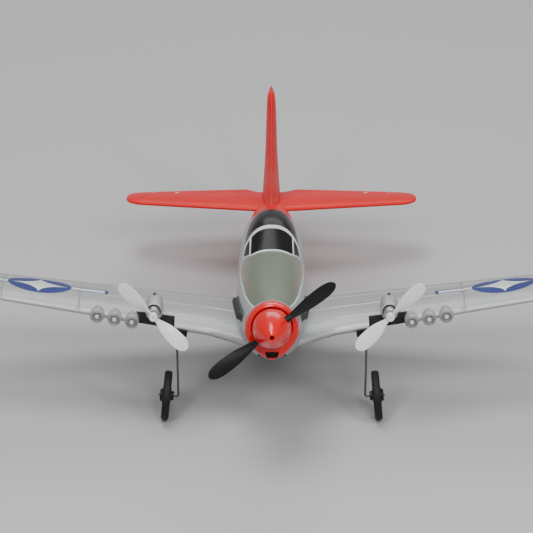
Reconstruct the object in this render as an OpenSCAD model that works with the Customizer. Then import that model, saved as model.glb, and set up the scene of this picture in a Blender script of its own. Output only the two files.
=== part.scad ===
// Foam radio-control aeroplane: low wing, two small wing motors, display propeller in the nose.
// Level frame used while modelling: x to the aeroplane's left, y aft from the spinner tip, z up
// from the thrust line. stand() then tips it onto its three wheels, origin under its middle.

/* [Wing] */
// Distance between the wing tips, mm
wingspan = 480; // [440:1:520]
// Chord of the wing on the centre line, mm
root_chord = 115; // [105:1:125]
// Chord at the wing tip, mm
tip_chord = 58; // [50:1:66]
// Rise of each wing panel per mm of span
dihedral = 0.154; // [0.1:0.002:0.2]
// Wing thickness at the root as a share of the chord
root_thickness = 0.125; // [0.09:0.005:0.15]

/* [Wing motors] */
// Distance of each motor from the centre line, mm
motor_x = 81.5; // [78:0.5:84]
// Diameter of the motor can, mm
motor_dia = 8.5; // [7:0.1:10]
// Diameter of the white wing propellers, mm
wing_prop_dia = 65; // [55:1:70]

/* [Nose] */
// Radius of the spinner, mm
spinner_r = 13.5; // [11:0.5:15]
// Diameter of the black display propeller, mm
nose_prop_dia = 107; // [90:1:110]
// Angle of the display propeller from level, degrees
nose_prop_angle = 37.8; // [0:0.1:90]
// Radius of the blind hole in the spinner tip, mm
tip_hole_r = 1.5; // [1:0.1:2]

/* [Undercarriage] */
// Outside diameter of the main wheels, mm
wheel_dia = 34.5; // [28:0.5:38]
// Outward lean of the main wheels, degrees
camber = 5.4; // [0:0.1:8]
// Diameter of the tail wheel, mm
tail_wheel_dia = 15; // [10:0.5:18]
// Diameter of the leg wire, mm
wire_dia = 1.5; // [1:0.1:2]

/* [Tail] */
// Half span of the tailplane, mm
tail_half_span = 110; // [100:1:120]
// Height of the fin above the thrust line, mm
fin_height = 95; // [85:1:100]

/* [Hidden] */
$fn = 36;
// Sub-part to show on its own

foam = [0.66, 0.67, 0.68];
red = [0.75, 0.06, 0.05];
black = [0.03, 0.03, 0.035];
olive = [0.27, 0.29, 0.13];
pale = [0.82, 0.82, 0.80];
grey = [0.42, 0.43, 0.44];
metal = [0.72, 0.72, 0.72];
white = [0.95, 0.95, 0.94];

half_span = wingspan / 2;
main_at = [73, 95, -66];
tail_at = [0, 345, -28.5];
main_low = (wheel_dia / 2 - 0.04) * cos(camber) + 1.6 * sin(camber);
lean_a = tail_at.y - main_at.y;
lean_b = tail_at.z - main_at.z;
stance = asin((main_low - tail_wheel_dia / 2) / norm([lean_a, lean_b])) + atan2(lean_b, lean_a);
floor_z = -main_at.y * sin(stance) + main_at.z * cos(stance) - main_low;
mid_y = 207.8;

// Smooth curve through a table of [key, value] rows
function row(k, t, i = 0) = (i >= len(t) - 2 || k < t[i + 1][0]) ? i : row(k, t, i + 1);
function grad(t, i) = i <= 0 ? (t[1][1] - t[0][1]) / (t[1][0] - t[0][0])
    : i >= len(t) - 1 ? (t[i][1] - t[i - 1][1]) / (t[i][0] - t[i - 1][0])
    : (t[i + 1][1] - t[i - 1][1]) / (t[i + 1][0] - t[i - 1][0]);
function herm(u, a, b, p, q) = a * (2 * u ^ 3 - 3 * u ^ 2 + 1) + p * (u ^ 3 - 2 * u ^ 2 + u)
    + b * (3 * u ^ 2 - 2 * u ^ 3) + q * (u ^ 3 - u ^ 2);
function curve(k, t) = let (i = row(k, t), h = t[i + 1][0] - t[i][0])
    herm((k - t[i][0]) / h, t[i][1], t[i + 1][1], grad(t, i) * h, grad(t, i + 1) * h);
function flat(v) = [for (a = v) for (b = a) b];

// Fuselage: half width, top, bottom and widest height along y
body_w = [[28, 16.6], [30, 18], [36, 19], [60, 21.5], [90, 23.5], [130, 24.4], [180, 24.2],
    [220, 23.5], [265, 21.8], [300, 18], [340, 13], [375, 7.4], [386, 5.2]];
body_t = [[28, 14.4], [30, 15.9], [36, 17], [60, 20], [90, 23], [130, 26], [180, 27], [220, 26],
    [265, 23.5], [300, 20.5], [340, 17], [375, 14.8], [386, 14]];
body_b = [[28, -21.2], [30, -22.8], [36, -24], [60, -29.5], [90, -34], [130, -36], [180, -36.5],
    [220, -38], [265, -30], [300, -22], [340, -14], [375, -7], [386, -4.5]];
body_m = [[28, -2.5], [36, -2.5], [90, -4], [180, -5], [220, -4], [265, -2], [300, 0], [340, 2],
    [375, 4], [386, 4.8]];
body_nt = [[28, 1.9], [36, 1.9], [60, 2.2], [90, 2.4], [400, 2.4]];
body_nb = [[28, 1.6], [36, 1.65], [56, 2.3], [90, 2.4], [400, 2.4]];
function sgn_pow(v, p) = sign(v) * pow(abs(v), p);
function body_ring(y, n = 28) = let (w = curve(y, body_w), t = curve(y, body_t),
    b = curve(y, body_b), m = curve(y, body_m))
    [for (j = [0 : n - 1]) let (a = 360 * (j + 0.5) / n,
        p = 2 / lookup(y, cos(a) > 0 ? body_nt : body_nb), c = sgn_pow(cos(a), p))
        [w * sgn_pow(sin(a), p), y, m + (c > 0 ? c * (t - m) : c * (m - b))]];
function body_top(y, x) = let (w = curve(y, body_w), t = curve(y, body_t), m = curve(y, body_m),
    n = lookup(y, body_nt))
    m + (t - m) * pow(max(0, 1 - pow(abs(x) / w, n)), 1 / n);

// Wing section with its chord line level
function thick(s, t) = 5 * t * (0.2969 * sqrt(s) - 0.126 * s - 0.3516 * s ^ 2 + 0.2843 * s ^ 3
    - 0.1036 * s ^ 4);
function bow(s) = s < 0.4 ? 0.125 * (0.8 * s - s ^ 2) : 0.0556 * (0.2 + 0.8 * s - s ^ 2);
function wing_le(x) = lookup(x, [[0, 78], [18, 84], [44, 98.5], [half_span, 110]]);
function wing_te(x) = 96 + root_chord - (96 + root_chord - 110 - tip_chord) * x / half_span;
function wing_z(x) = -28.8 + dihedral * x;
function tip_k(x) = x < half_span - 14 ? 1
    : sqrt(max(0.02, 1 - pow((x - half_span + 14) / 14, 2)));
function wing_ring(x, n = 11) = let (k = tip_k(x), l0 = wing_le(x), e0 = wing_te(x),
    l = l0 + (1 - k) * 14, e = e0 - (1 - k) * 9, c = e - l,
    t = (root_thickness - 0.02 * x / half_span) * (e0 - l0) / c * pow(k, 0.7))
    [for (j = [0 : 2 * n - 1]) let (up = j < n, i = up ? j : 2 * n - 1 - j,
        s = 0.5 + 0.5 * cos(180 * i / (n - 0.5)), h = c * thick(s, t) + 0.5 * s)
        [x, l + c * s, wing_z(x) + c * bow(s) + (up ? h : -h)]];

module stand() {
    translate([0, -mid_y, -floor_z])
        rotate([-stance, 0, 0])
            children();
}

// Closed skin over a row of equal rings; each end is closed in strips
module loft(rings) {
    n = len(rings[0]);
    m = len(rings);
    q = (m - 1) * n;
    side = [for (i = [0 : m - 2]) for (j = [0 : n - 1])
        let (a = i * n + j, b = i * n + (j + 1) % n, c = b + n, d = a + n)
            each [[a, d, c], [a, c, b]]];
    front = [for (j = [0 : n / 2 - 2]) let (a = j, b = j + 1, c = n - 2 - j, d = n - 1 - j)
        each [[a, b, c], [a, c, d]]];
    back = [for (f = front) [f[2] + q, f[1] + q, f[0] + q]];
    polyhedron(points = flat(rings), faces = concat(side, front, back), convexity = 8);
}

module rod(a, b, r) {
    d = b - a;
    translate(a)
        rotate([0, acos(d.z / norm(d)), atan2(d.y, d.x)])
            cylinder(r = r, h = norm(d));
}

module body_solid(y0, y1, steps) {
    loft([for (i = [0 : steps]) body_ring(y0 + (y1 - y0) * i / steps)]);
}

module block(lo, hi) {
    translate(lo)
        cube(hi - lo);
}

// The tray, hatch and switch share one sloping belly frame
module belly() {
    translate([0, 66, -27.2])
        rotate([-9.4, 0, 0])
            children();
}

module deck_solid(over = 0.15) {
    loft([for (i = [0 : 9]) let (y = 36 + i * 12.2, w = lookup(y, [[36, 11.8],
        [50, 15.2], [69, 18.1], [102, 20.6], [130, 21.6], [147, 21]]))
        concat([for (j = [-6 : 6]) let (x = w * sin(15 * j)) [x, y, body_top(y, x) + over]],
            [for (j = [6 : -1 : -6]) let (x = w * sin(15 * j)) [x, y, body_top(y, x) - 0.7]])]);
}

// Canopy half width, top and sill height along y
can_w = [[157, 19.6], [175, 19.3], [195, 18], [215, 14.8], [230, 10.5], [241, 5]];
can_t = [[157, 39], [170, 43.2], [185, 44], [200, 42.6], [218, 37.5], [232, 31.5], [241, 27.8]];
function can_row(y, off) = let (w = curve(y, can_w) + off, t = curve(y, can_t) + off)
    [for (j = [-7 : 7]) let (a = 90 / 7 * j, x = w * sgn_pow(sin(a), 0.86))
        [x, y, (body_top(y, x) - 1.5) + (t - body_top(y, 0) + 1.5) * pow(cos(a), 0.66)]];
function bow_pt(j, off) = let (a = 90 / 7 * j, w = 19.6 + off, x = w * sgn_pow(sin(a), 0.86))
    [x, 157, (body_top(157, x) - 1.5) + (39 + off - body_top(157, 0) + 1.5) * pow(cos(a), 0.66)];
function sill_pt(j, off) = let (a = 90 / 7 * j, x = (20.2 + off) * sgn_pow(sin(a), 0.86),
    y = 139.5 - off * 0.8 + 15 * pow(max(0, (abs(x) - 13) / 7.2), 1.3))
    [x, y, body_top(y, x) - 0.2];
function screen_row(u, off) = [for (j = [-7 : 7])
    bow_pt(j, off) * (1 - u) + sill_pt(j, off) * u];
function rev(v) = [for (i = [len(v) - 1 : -1 : 0]) v[i]];

module canopy_solid(off) {
    union() {
        loft([for (i = [0 : 9]) let (y = 157 + i * 28 / 3)
            concat(can_row(y, off), rev([for (p = can_row(y, off)) [p.x, p.y, min(p.z, 12)]]))]);
        loft([for (i = [3 : -1 : 0]) let (r = screen_row(i / 3, off))
            concat(r, rev([for (p = r) [p.x, p.y, min(p.z, 12)]]))]);
    }
}

module tub() {
    belly() {
        block([-9.5, -25, -6], [9.5, 25, 16]);
        block([-5, 27, -6], [5, 37, 5]);
        rod([0, 22, 9], [0, 25, 9], 2.2);
        rod([0, 25, 9], [0, 47, 24], 2.2);
    }
}

module fuselage_whole() {
    resize([0, 0, 0])
        difference() {
            body_solid(36, 280, 20);
            deck_solid(3);
            canopy_solid(0);
            tub();
            block([-13, 112, -14], [13, 162, 0]);
            rod([6, 150, -10.3], [6, 215, -10.3], 0.9);
            rod([0, 30, 0], [0, 52, 0], 3);
            for (s = [-1, 1])
                side(s) {
                    exhaust_plate(6);
                    lead_path(1.4);
                }
            spar_rod(1.5);
        }
}

module fuselage_left() {
    color(foam)
        stand()
            resize([0, 0, 0])
                intersection() {
                    fuselage_whole();
                    block([0, 30, -60], [40, 300, 60]);
                }
}

module fuselage_right() {
    color(foam)
        stand()
            resize([0, 0, 0])
                intersection() {
                    fuselage_whole();
                    block([-40, 30, -60], [0, 300, 60]);
                }
}

module rear_fuselage() {
    color(red)
        stand()
            resize([0, 0, 0])
                difference() {
                    body_solid(280, 381, 9);
                    rod([-20, 377, 14], [20, 377, 14], 0.65);
                    rod([0, 336, -26], [0, 336, 2], wire_dia / 2);
                }
}

module cowl_ring() {
    color(red)
        stand()
            resize([0, 0, 0])
                difference() {
                    loft([for (y = [28.6, 29, 30, 31.5, 33.5, 36]) body_ring(y)]);
                    rod([0, 20, 0], [0, 34.6, 0], 12.4);
                    rod([0, 30, 0], [0, 40, 0], 3);
                    intake_block();
                }
}

module intake_block() {
    translate([0, 33.5, -19.3])
        rotate([90, 0, 0])
            linear_extrude(8)
                polygon([[-4.7, 2.2], [4.7, 2.2], [3.6, -2.2], [-3.6, -2.2]]);
}

module chin_intake() {
    color(black)
        stand()
            translate([0, 33.5, -19.3])
                rotate([90, 0, 0])
                    linear_extrude(2)
                        polygon([[-4.7, 2.2], [4.7, 2.2], [3.6, -2.2], [-3.6, -2.2]]);
}

module nose_deck() {
    color(olive)
        stand()
            resize([0, 0, 0])
                difference() {
                    deck_solid();
                    canopy_solid(0);
                }
}

module canopy_shell() {
    color(black)
        stand()
            resize([0, 0, 0])
                difference() {
                    canopy_solid(0);
                    canopy_solid(-1.2);
                }
}

module frame_strip(outer, inner) {
    loft([for (i = [0 : len(outer) - 1]) concat(outer[i], rev(inner[i]))]);
}

module windshield_frame() {
    color(pale)
        stand()
            resize([0, 0, 0])
                difference() {
                    union() {
                        frame_strip([screen_row(0.1, 0.9), can_row(157, 0.9), can_row(159.4, 0.9)],
                            [screen_row(0.1, -0.4), can_row(157, -0.4), can_row(159.4, -0.4)]);
                        for (s = [-1, 1])
                            frame_post(s);
                        frame_strip([screen_row(1, 0.9), screen_row(0.92, 0.9)],
                            [screen_row(1, -0.4), screen_row(0.92, -0.4)]);
                    }
                    canopy_solid(0);
                    resize([0, 0, 0])
                        difference() {
                            body_solid(130, 175, 6);
                            block([-60, 100, 40], [60, 101, 41]);
                        }
                    deck_solid();
                }
}

function mix(a, b, u) = a * (1 - u) + b * u;
function post_pt(s, u, k, off) = let (j = s * 3.6 + k, f = floor(j), v = j - f,
    r0 = screen_row(u, off))
    mix(r0[f + 7], r0[f + 8], v);
module frame_post(s) {
    loft([for (i = [6 : -1 : 0]) let (u = i / 6)
        [post_pt(s, u, -0.25, 0.9), post_pt(s, u, 0.25, 0.9),
            post_pt(s, u, 0.25, -0.4), post_pt(s, u, -0.25, -0.4)]]);
}

module exhaust_plate(out) {
    translate([18.8, 48, 0])
        rotate([0, 0, -3.9])
            block([0, 0, -1.8], [out, 48, 5.8]);
}

module exhaust(s) {
    side(s) {
        exhaust_plate(2.4);
        translate([18.8, 48, 0])
            rotate([0, 0, -3.9])
                intersection() {
                    for (i = [0 : 5])
                        translate([0.8, 2.6 + i * 7.8, 2])
                            rotate([0, 0, 50])
                                rotate([0, 90, 0])
                                    scale([1.25, 0.85, 1])
                                        cylinder(r = 2.3, h = 5.2, $fn = 16);
                    block([0.4, -10, -10], [20, 60, 20]);
                }
    }
}

module exhaust_left() {
    color(black)
        stand()
            resize([0, 0, 0])
                exhaust(1);
}

module exhaust_right() {
    color(black)
        stand()
            resize([0, 0, 0])
                exhaust(-1);
}

module spar_rod(r) {
    for (s = [-1, 1])
        rod([0, 135, wing_z(0) + 2.5], [s * 165, 135, wing_z(165) + 2], r);
}

module wing_spar() {
    color(grey)
        stand()
            resize([0, 0, 0])
                union() {
                    spar_rod(1.5);
                    rod([-1, 135, wing_z(0) + 2.6], [1, 135, wing_z(0) + 2.6], 1.4);
                }
}

gun_x = [97, 109, 121];
function gun_y(x) = wing_le(x) - 8;

module wing_solid() {
    xs = [6, 14, 20, 28, 44, 100, 160, half_span - 14, half_span - 8, half_span - 4,
        half_span - 1.4, half_span];
    union() {
        loft([for (x = xs) wing_ring(x)]);
        for (x = gun_x)
            translate([x, gun_y(x) + 3, wing_z(x) + 0.3])
                rotate([-90, 0, 0]) {
                    cylinder(r1 = 4.8, r2 = 5.1, h = 8, $fn = 20);
                    translate([0, 0, 8])
                        cylinder(r1 = 5.1, r2 = 1, h = 42, $fn = 20);
                }
    }
}

pod_w = [[95, 5.6], [100, 6], [110, 6], [118, 5.6], [126, 4.6], [134, 3.4]];
pod_t = [[95, -0.4], [100, 0.4], [110, 1.4], [118, 1.2], [126, -2.4], [134, -8.2]];
module pod_solid() {
    loft([for (y = [95, 98, 104, 110, 114, 118, 122, 126, 130, 134])
        let (w = curve(y, pod_w), t = curve(y, pod_t), m = min(-6, t - 0.8),
            b = lookup(y, [[95, -11.8], [104, -14], [134, -13]]))
            [for (j = [0 : 19]) let (a = 18 * (j + 0.5), c = sgn_pow(cos(a), 0.8))
                [motor_x + w * sgn_pow(sin(a), 0.8), y, m + (c > 0 ? c * (t - m) : c * (m - b))]]]);
}

module gear_block() {
    translate([66, 100, -24])
        rotate([0, -8.8, 0])
            block([-7, -2, 0], [1.3, 18, 4]);
}

module wing_cut() {
    difference() {
        wing_solid();
        body_solid(36, 280, 20);
        block([67.4, 70, -60], [94, 110, 30]);
        pod_solid();
        for (x = gun_x)
            translate([x, gun_y(x) - 2, wing_z(x)])
                rotate([-90, 0, 0])
                    cylinder(r = 4, h = 14);
        rod([0, 135, wing_z(0) + 2.5], [165, 135, wing_z(165) + 2], 1.5);
        lead_path(1.4);
        gear_block();
        rod([66, 104, -32], [66, 104, -12], 0.75);
    }
}

module lead_path(r) {
    over = 1.2;
    rod([motor_x, 104, -6], [motor_x, 118 + 0.81 * over, -16 - 0.58 * over], r);
    rod([motor_x + 0.99 * over, 118, -16 + 0.16 * over], [20 - 0.99 * over, 118, -26.2 - 0.16 * over], r);
    rod([20 + 0.62 * over, 118 - 0.16 * over, -26.2 - 0.77 * over], [8, 121, -11.4], r);
}

module wing_left() {
    color(foam)
        stand()
            resize([0, 0, 0])
                wing_cut();
}

module wing_right() {
    color(foam)
        stand()
            resize([0, 0, 0])
                mirror([1, 0, 0])
                    wing_cut();
}

module side(s) {
    mirror([s < 0 ? 1 : 0, 0, 0])
        children();
}

module guns(s) {
    side(s)
        for (x = gun_x)
            translate([x, gun_y(x), wing_z(x)])
                rotate([-90, 0, 0])
                    difference() {
                        cylinder(r = 4, h = 12);
                        translate([0, 0, -1])
                            cylinder(r = 2.4, h = 6);
                    }
}

module gun_core_row(s) {
    side(s)
        for (x = gun_x)
            translate([x, gun_y(x) + 1.2, wing_z(x)])
                rotate([-90, 0, 0])
                    cylinder(r = 1.75, h = 3.8);
}

module gun_muzzles() {
    color(grey)
        stand()
            for (s = [-1, 1])
                guns(s);
}

module gun_cores() {
    color(pale)
        stand()
            for (s = [-1, 1])
                gun_core_row(s);
}

module firewall(s) {
    resize([0, 0, 0])
        side(s)
            difference() {
                intersection() {
                    wing_solid();
                    block([67.4, 108.6, -60], [94, 110, 30]);
                }
                pod_solid();
            }
}

module firewalls() {
    color(black)
        stand()
            for (s = [-1, 1])
                firewall(s);
}

module pod(s) {
    resize([0, 0, 0])
        side(s)
            pod_shell();
}

module pod_shell() {
    difference() {
        pod_solid();
        rod([motor_x, 90, -6], [motor_x, 99, -6], motor_dia / 2 + 0.6);
        rod([motor_x, 90, -6], [motor_x, 106, -6], motor_dia / 2);
        rod([motor_x, 104, -6], [motor_x, 118, -16], 1.4);
    }
}

module motor_pod_left() {
    color(foam)
        stand()
            pod(1);
}

module motor_pod_right() {
    color(foam)
        stand()
            pod(-1);
}

module can(s) {
    side(s)
        translate([motor_x, 0, -6])
            rotate([-90, 0, 0])
                rotate_extrude()
                    polygon([[0.55, 85.2], [1.6, 85.2], [1.6, 86], [motor_dia / 2 - 0.5, 86],
                        [motor_dia / 2, 86.5], [motor_dia / 2, 105.5], [motor_dia / 2 - 0.5, 106],
                        [0.55, 106]]);
}

module motor_can_left() {
    color(metal)
        stand()
            can(1);
}

module motor_can_right() {
    color(metal)
        stand()
            can(-1);
}

module leads(s) {
    side(s)
        resize([0, 0, 0])
            for (d = [-0.62, 0.62])
                translate([0, d, 0])
                    bent([[motor_x, 107.6, -8.6], [motor_x, 118, -16], [20, 118, -26.2],
                        [9, 120.75, -12.6]], 0.5, $fn = 10);
}

module motor_leads() {
    color(red)
        stand()
            for (s = [-1, 1])
                leads(s);
}

module mount_left_right(s) {
    resize([0, 0, 0])
        side(s)
            difference() {
                gear_block();
                rod([66, 104, -32], [66, 104, -12], wire_dia / 2);
                for (y = [101, 115])
                    rod([61.5, y, -32], [61.5, y, -12], 0.8);
            }
}

module gear_mount_left() {
    color(black)
        stand()
            mount_left_right(1);
}

module gear_mount_right() {
    color(black)
        stand()
            mount_left_right(-1);
}

module screws(s) {
    side(s)
        for (y = [101, 115])
            translate([61.5, y, -25.9]) {
                cylinder(r = 1.5, h = 1);
                cylinder(r = 0.8, h = 5);
            }
}

module gear_screws() {
    color(metal)
        stand()
            for (s = [-1, 1])
                screws(s);
}

module bent(pts, r) {
    for (i = [0 : len(pts) - 2]) {
        d = (pts[i + 1] - pts[i]) / norm(pts[i + 1] - pts[i]);
        rod(pts[i] - d * (i > 0 ? 0.3 : 0), pts[i + 1] + d * (i < len(pts) - 2 ? 0.3 : 0), r);
    }
}

module leg(s) {
    side(s)
        bent([[66, 104, -18], [66, 104, -27], main_at - [8.2 * cos(camber), 0, 8.2 * sin(camber)],
            main_at + [5.6 * cos(camber), 0, 5.6 * sin(camber)]], wire_dia / 2);
}

module gear_leg_left() {
    color(metal)
        stand()
            leg(1);
}

module gear_leg_right() {
    color(metal)
        stand()
            leg(-1);
}

hinge_y = 377;
hinge_end = 88.5;
function stab_le(x) = lookup(x, [[0, 321], [14, 323], [100, 344], [106, 347.5], [109, 352.5],
    [110, 359]]) + 0 * tail_half_span;
function stab_te(x) = lookup(x, [[0, 393], [20, 391.5], [100, 381.5], [106, 378.5], [109, 373.5],
    [110, 367]]);
function tip_thin(x) = x < 96 ? 1 : sqrt(max(0.1, 1 - pow((x - 96) / 14.3, 2)));
tail_xs = [3, 14, 50, 80, 96, 102, 106, 108.4, 109.6, 110];
function stab_ring(x) = let (l = stab_le(x), c = stab_te(x) - l, t = 6.6 - 2 * x / tail_half_span)
    [for (j = [0 : 17]) let (up = j < 9, i = up ? j : 17 - j, s = 0.5 + 0.5 * cos(180 * i / 8.5),
        h = tip_thin(x) * (t * 4.4 * thick(s, 0.2) / 0.88 + 0.45 * s))
        [x * tail_half_span / 110, l + c * s, 14 + (up ? h : -h)]];

module stab_half() {
    difference() {
        loft([for (x = tail_xs) stab_ring(x)]);
        block([-1, hinge_y - 2.2, 0], [hinge_end + 0.7, 400, 30]);
        for (x = [24, 72])
            block([x - 1.5, 366, 13.3], [x + 1.5, 378, 14.7]);
    }
}

module tailplane() {
    color(red)
        stand()
            resize([0, 0, 0])
                difference() {
                    union() {
                        stab_half();
                        mirror([1, 0, 0])
                            stab_half();
                    }
                    body_solid(280, 381, 9);
                    fin_solid();
                }
}

function elev_te(x) = lookup(x, [[8.2, 380.2], [19.5, 391.8], [hinge_end, 383.2]]);
function elev_ring(x) = let (r = 1.7, e = elev_te(x))
    concat([[x, e, 14.5]], [for (i = [0 : 9]) let (a = 90 + 18 * i + 9)
        [x, hinge_y + r * cos(a), 14 + r * sin(a)]], [[x, e, 13.5]]);

module elevator_half() {
    difference() {
        loft([for (x = [8.2, 12, 16, 19.5, 50, hinge_end]) elev_ring(x)]);
        for (x = [24, 72])
            block([x - 2, 374, 10], [x + 2, hinge_y + 1.75, 18]);
        rod([0, hinge_y, 14], [86, hinge_y, 14], 0.6);
    }
}

module elevator_left() {
    color(red)
        stand()
            resize([0, 0, 0])
                elevator_half();
}

module elevator_right() {
    color(red)
        stand()
            resize([0, 0, 0])
                mirror([1, 0, 0])
                    elevator_half();
}

module elevator_rod() {
    color(metal)
        stand()
            rod([-86, hinge_y, 14], [86, hinge_y, 14], 0.6);
}

module elevator_hinges() {
    color(white)
        stand()
            for (x = [-72, -24, 24, 72])
                translate([x - 1.5, hinge_y, 14])
                    rotate([90, 0, 90])
                        difference() {
                            union() {
                                cylinder(r = 1.35, h = 3);
                                translate([-11, -0.7, 0])
                                    cube([11, 1.4, 3]);
                            }
                            translate([0, 0, -1])
                                cylinder(r = 0.65, h = 5);
                        }
}

fin_le = [[4, 296], [14, 299], [17, 308], [22, 318], [34, 326.5], [60, 339], [84, 351], [91, 358],
    [95, 368]];
function fin_t(z) = curve(z, [[4, 14], [16, 13.6], [50, 9.4], [88, 6.6], [95, 4.4]]);
function nose_r(z) = curve(z, [[-2, 3.4], [16, 3.7], [50, 2.9], [88, 2.1], [95, 1.4]]);
function fin_ring(z) = let (l = lookup(z, fin_le), e = 385.4 - nose_r(z), c = e - l, t = fin_t(z))
    [for (j = [0 : 19]) let (up = j < 10, i = up ? j : 19 - j, s = 0.5 + 0.5 * cos(180 * i / 9.5),
        m = l > 330 ? 0.4 : 0.55,
        h = t / 2 * sin(90 * min(1, (s + 0.01) / m)) * (s > m ? 1 - 0.42 * pow((s - m) / (1 - m), 1.6) : 1))
        [up ? -h : h, l + c * s, z]];

module fin_solid() {
    loft([for (z = [4, 14, 17, 22, 34, 60, 84, 91, fin_height - 0.5]) fin_ring(z)]);
}

module fin() {
    color(red)
        stand()
            resize([0, 0, 0])
                difference() {
                    fin_solid();
                    body_solid(280, 381, 9);
                    for (z = [36, 74])
                        block([-0.8, 370, z - 2], [0.8, 392, z + 2]);
                    rod([-20, 377, 14], [20, 377, 14], 0.65);
                }
}

function rud_te(z) = curve(z, [[-3, 396], [8, 404.5], [30, 410.5], [60, 411], [84, 407],
    [92, 401], [94.5, 395]]);
function rud_ring(z) = let (r = nose_r(z), e = rud_te(z))
    concat([[-0.6, e, z]], [for (i = [0 : 9]) let (a = 180 + 9 + 18 * i)
        [r * cos(a), 386 + r * sin(a), z]], [[0.6, e, z]]);

module rudder() {
    color(red)
        stand()
            resize([0, 0, 0])
                difference() {
                    loft([for (z = [-3, 0, 8, 16, 30, 50, 70, 84, 90, 94.5]) rud_ring(z)]);
                    for (z = [36, 74])
                        block([-8, 380, z - 2.6], [8, 388.4, z + 2.6]);
                    rod([0, 386, -8], [0, 386, 92], 0.65);
                }
}

module rudder_hinges() {
    color(white)
        stand()
            union() {
                for (z = [36, 74])
                    translate([0, 386, z - 2]) {
                        cylinder(r = 1.4, h = 4);
                        translate([-0.8, -15, 0])
                            cube([1.6, 15, 4]);
                    }
                translate([0, 386, 1])
                    cylinder(r = 0.6, h = 89);
            }
}

module tail_leg() {
    color(metal)
        stand()
            bent([[0, 336, 2], [0, 336, -15], [4, 341, -19], [4, 345, tail_at.z],
                [-3.4, 345, tail_at.z]], wire_dia / 2);
}

module nose_bush() {
    color(pale)
        stand()
            rotate([-90, 0, 0])
                rotate_extrude()
                    polygon([[1.05, 33.4], [4.4, 33.4], [4.4, 34.6], [3, 34.6], [3, 46], [1.05, 46]]);
}

module battery_tray() {
    color(black)
        stand()
            belly()
                difference() {
                    block([-9.5, -25, 0], [9.5, 25, 16]);
                    block([-8.3, -22.6, 2.6], [8.3, 23.8, 14.8]);
                    block([-7.6, -18, -1], [7.6, 19, 3]);
                    block([-9, -21.5, -1], [9, 21.5, 1.4]);
                    block([-9, -20.9, 1.3], [9, -18.2, 2]);
                    rod([-12, -19.6, 0.55], [12, -19.6, 0.55], 0.4);
                    block([-2, 20, 6.8], [2, 28, 11.2]);
                }
}

module hatch_pin() {
    color(metal)
        stand()
            belly()
                rod([-9.5, -19.6, 0.55], [9.5, -19.6, 0.55], 0.4);
}

module battery_hatch() {
    color(grey)
        stand()
            belly()
                difference() {
                    union() {
                        block([-8.6, -18.4, -0.1], [8.6, 21, 1.1]);
                        block([-3, 17, -0.7], [3, 19, 0]);
                        rod([-8.6, -19.6, 0.55], [8.6, -19.6, 0.55], 0.95);
                        block([-8.6, -19.6, -0.1], [8.6, -18, 1.1]);
                    }
                    rod([-12, -19.6, 0.55], [12, -19.6, 0.55], 0.45);
                }
}

module battery() {
    color([0.1, 0.25, 0.6])
        stand()
            belly()
                resize([0, 0, 0])
                    minkowski() {
                        block([-7, -16.2, 3.6], [7, 15.2, 10.2]);
                        sphere(r = 1, $fn = 12);
                    }
}

module battery_lead() {
    color(red)
        stand()
            resize([0, 0, 0])
                belly()
                    for (x = [-1, 1]) {
                        rod([x, 16.2, 9], [x, 25, 9], 0.6);
                        rod([x, 25, 9], [x, 47, 24], 0.6);
                    }
}

module receiver_board() {
    color([0.05, 0.3, 0.12])
        stand() {
            block([-13, 118, -11], [13, 152, -9.6]);
            block([-8, 122, -9.6], [-1, 130, -8]);
            block([1, 132, -9.6], [8, 139, -7.6]);
            block([-6, 143, -9.6], [6, 149, -6.4]);
        }
}

module antenna() {
    color(black)
        stand()
            rod([6, 152, -10.3], [6, 210, -10.3], 0.4);
}

module switch_body() {
    color(black)
        stand()
            belly()
                difference() {
                    block([-5, 27, 0], [5, 37, 5]);
                    block([-3.4, 30, 1], [3.4, 34, 3.2]);
                    block([-2.5, 30.6, -1], [2.5, 33.4, 1.1]);
                }
}

module switch_slider() {
    color(white)
        stand()
            belly() {
                block([-3, 30.4, 1.4], [0.4, 33.6, 2.8]);
                block([-2.1, 31, -0.9], [-0.5, 33, 1.4]);
            }
}

module spinner() {
    n = 14;
    color(red)
        stand()
            difference() {
                rotate([-90, 0, 0])
                    rotate_extrude($fn = 72)
                        polygon(concat(
                            [for (i = [0 : n]) let (y = 0.2 + 25.8 * i / n)
                                [max(2.6, spinner_r * pow(sin(90 * min(1, (y + 1.3) / 27.3)), 0.78)), y]],
                            [[12, 26], [12, 22], [8.6, 12], [2.8, 10.2], [2.8, 9], [tip_hole_r, 8.6],
                                [tip_hole_r, 0.2]]));
                for (s = [-1, 1])
                    rotate([0, -nose_prop_angle, 0])
                        rod([s * 4, 20, 0], [s * 20, 20, 0], 2.6);
            }
}

module spinner_plate() {
    color(red)
        stand()
            rotate([-90, 0, 0])
                rotate_extrude($fn = 72)
                    polygon([[1, 24.6], [11.9, 24.6], [11.9, 26], [spinner_r, 26], [spinner_r, 27.6],
                        [1, 27.6]]);
}

module blade(r0, r1, c0, c1, t0, pitch, hand) {
    st = [0, 0.12, 0.3, 0.5, 0.7, 0.85, 0.95, 1];
    wd = [[0, c0], [0.12, c0 * 1.25], [0.4, c1 * 0.92], [0.7, c1], [0.85, c1 * 0.88], [0.95, c1 * 0.6],
        [1, c1 * 0.2]];
    loft([for (s = st) let (x = r0 + (r1 - r0) * s, w = lookup(s, wd) / 2, a = hand
        * atan2(pitch, 6.283 * x), t = t0 * (1 - 0.7 * s) / 2)
        [for (j = [0 : 9]) let (b = -90 - 18 - 36 * j, u = w * cos(b), v = t * sin(b))
            [x, -u * sin(a) + v * cos(a), u * cos(a) + v * sin(a)]]]);
}

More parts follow.
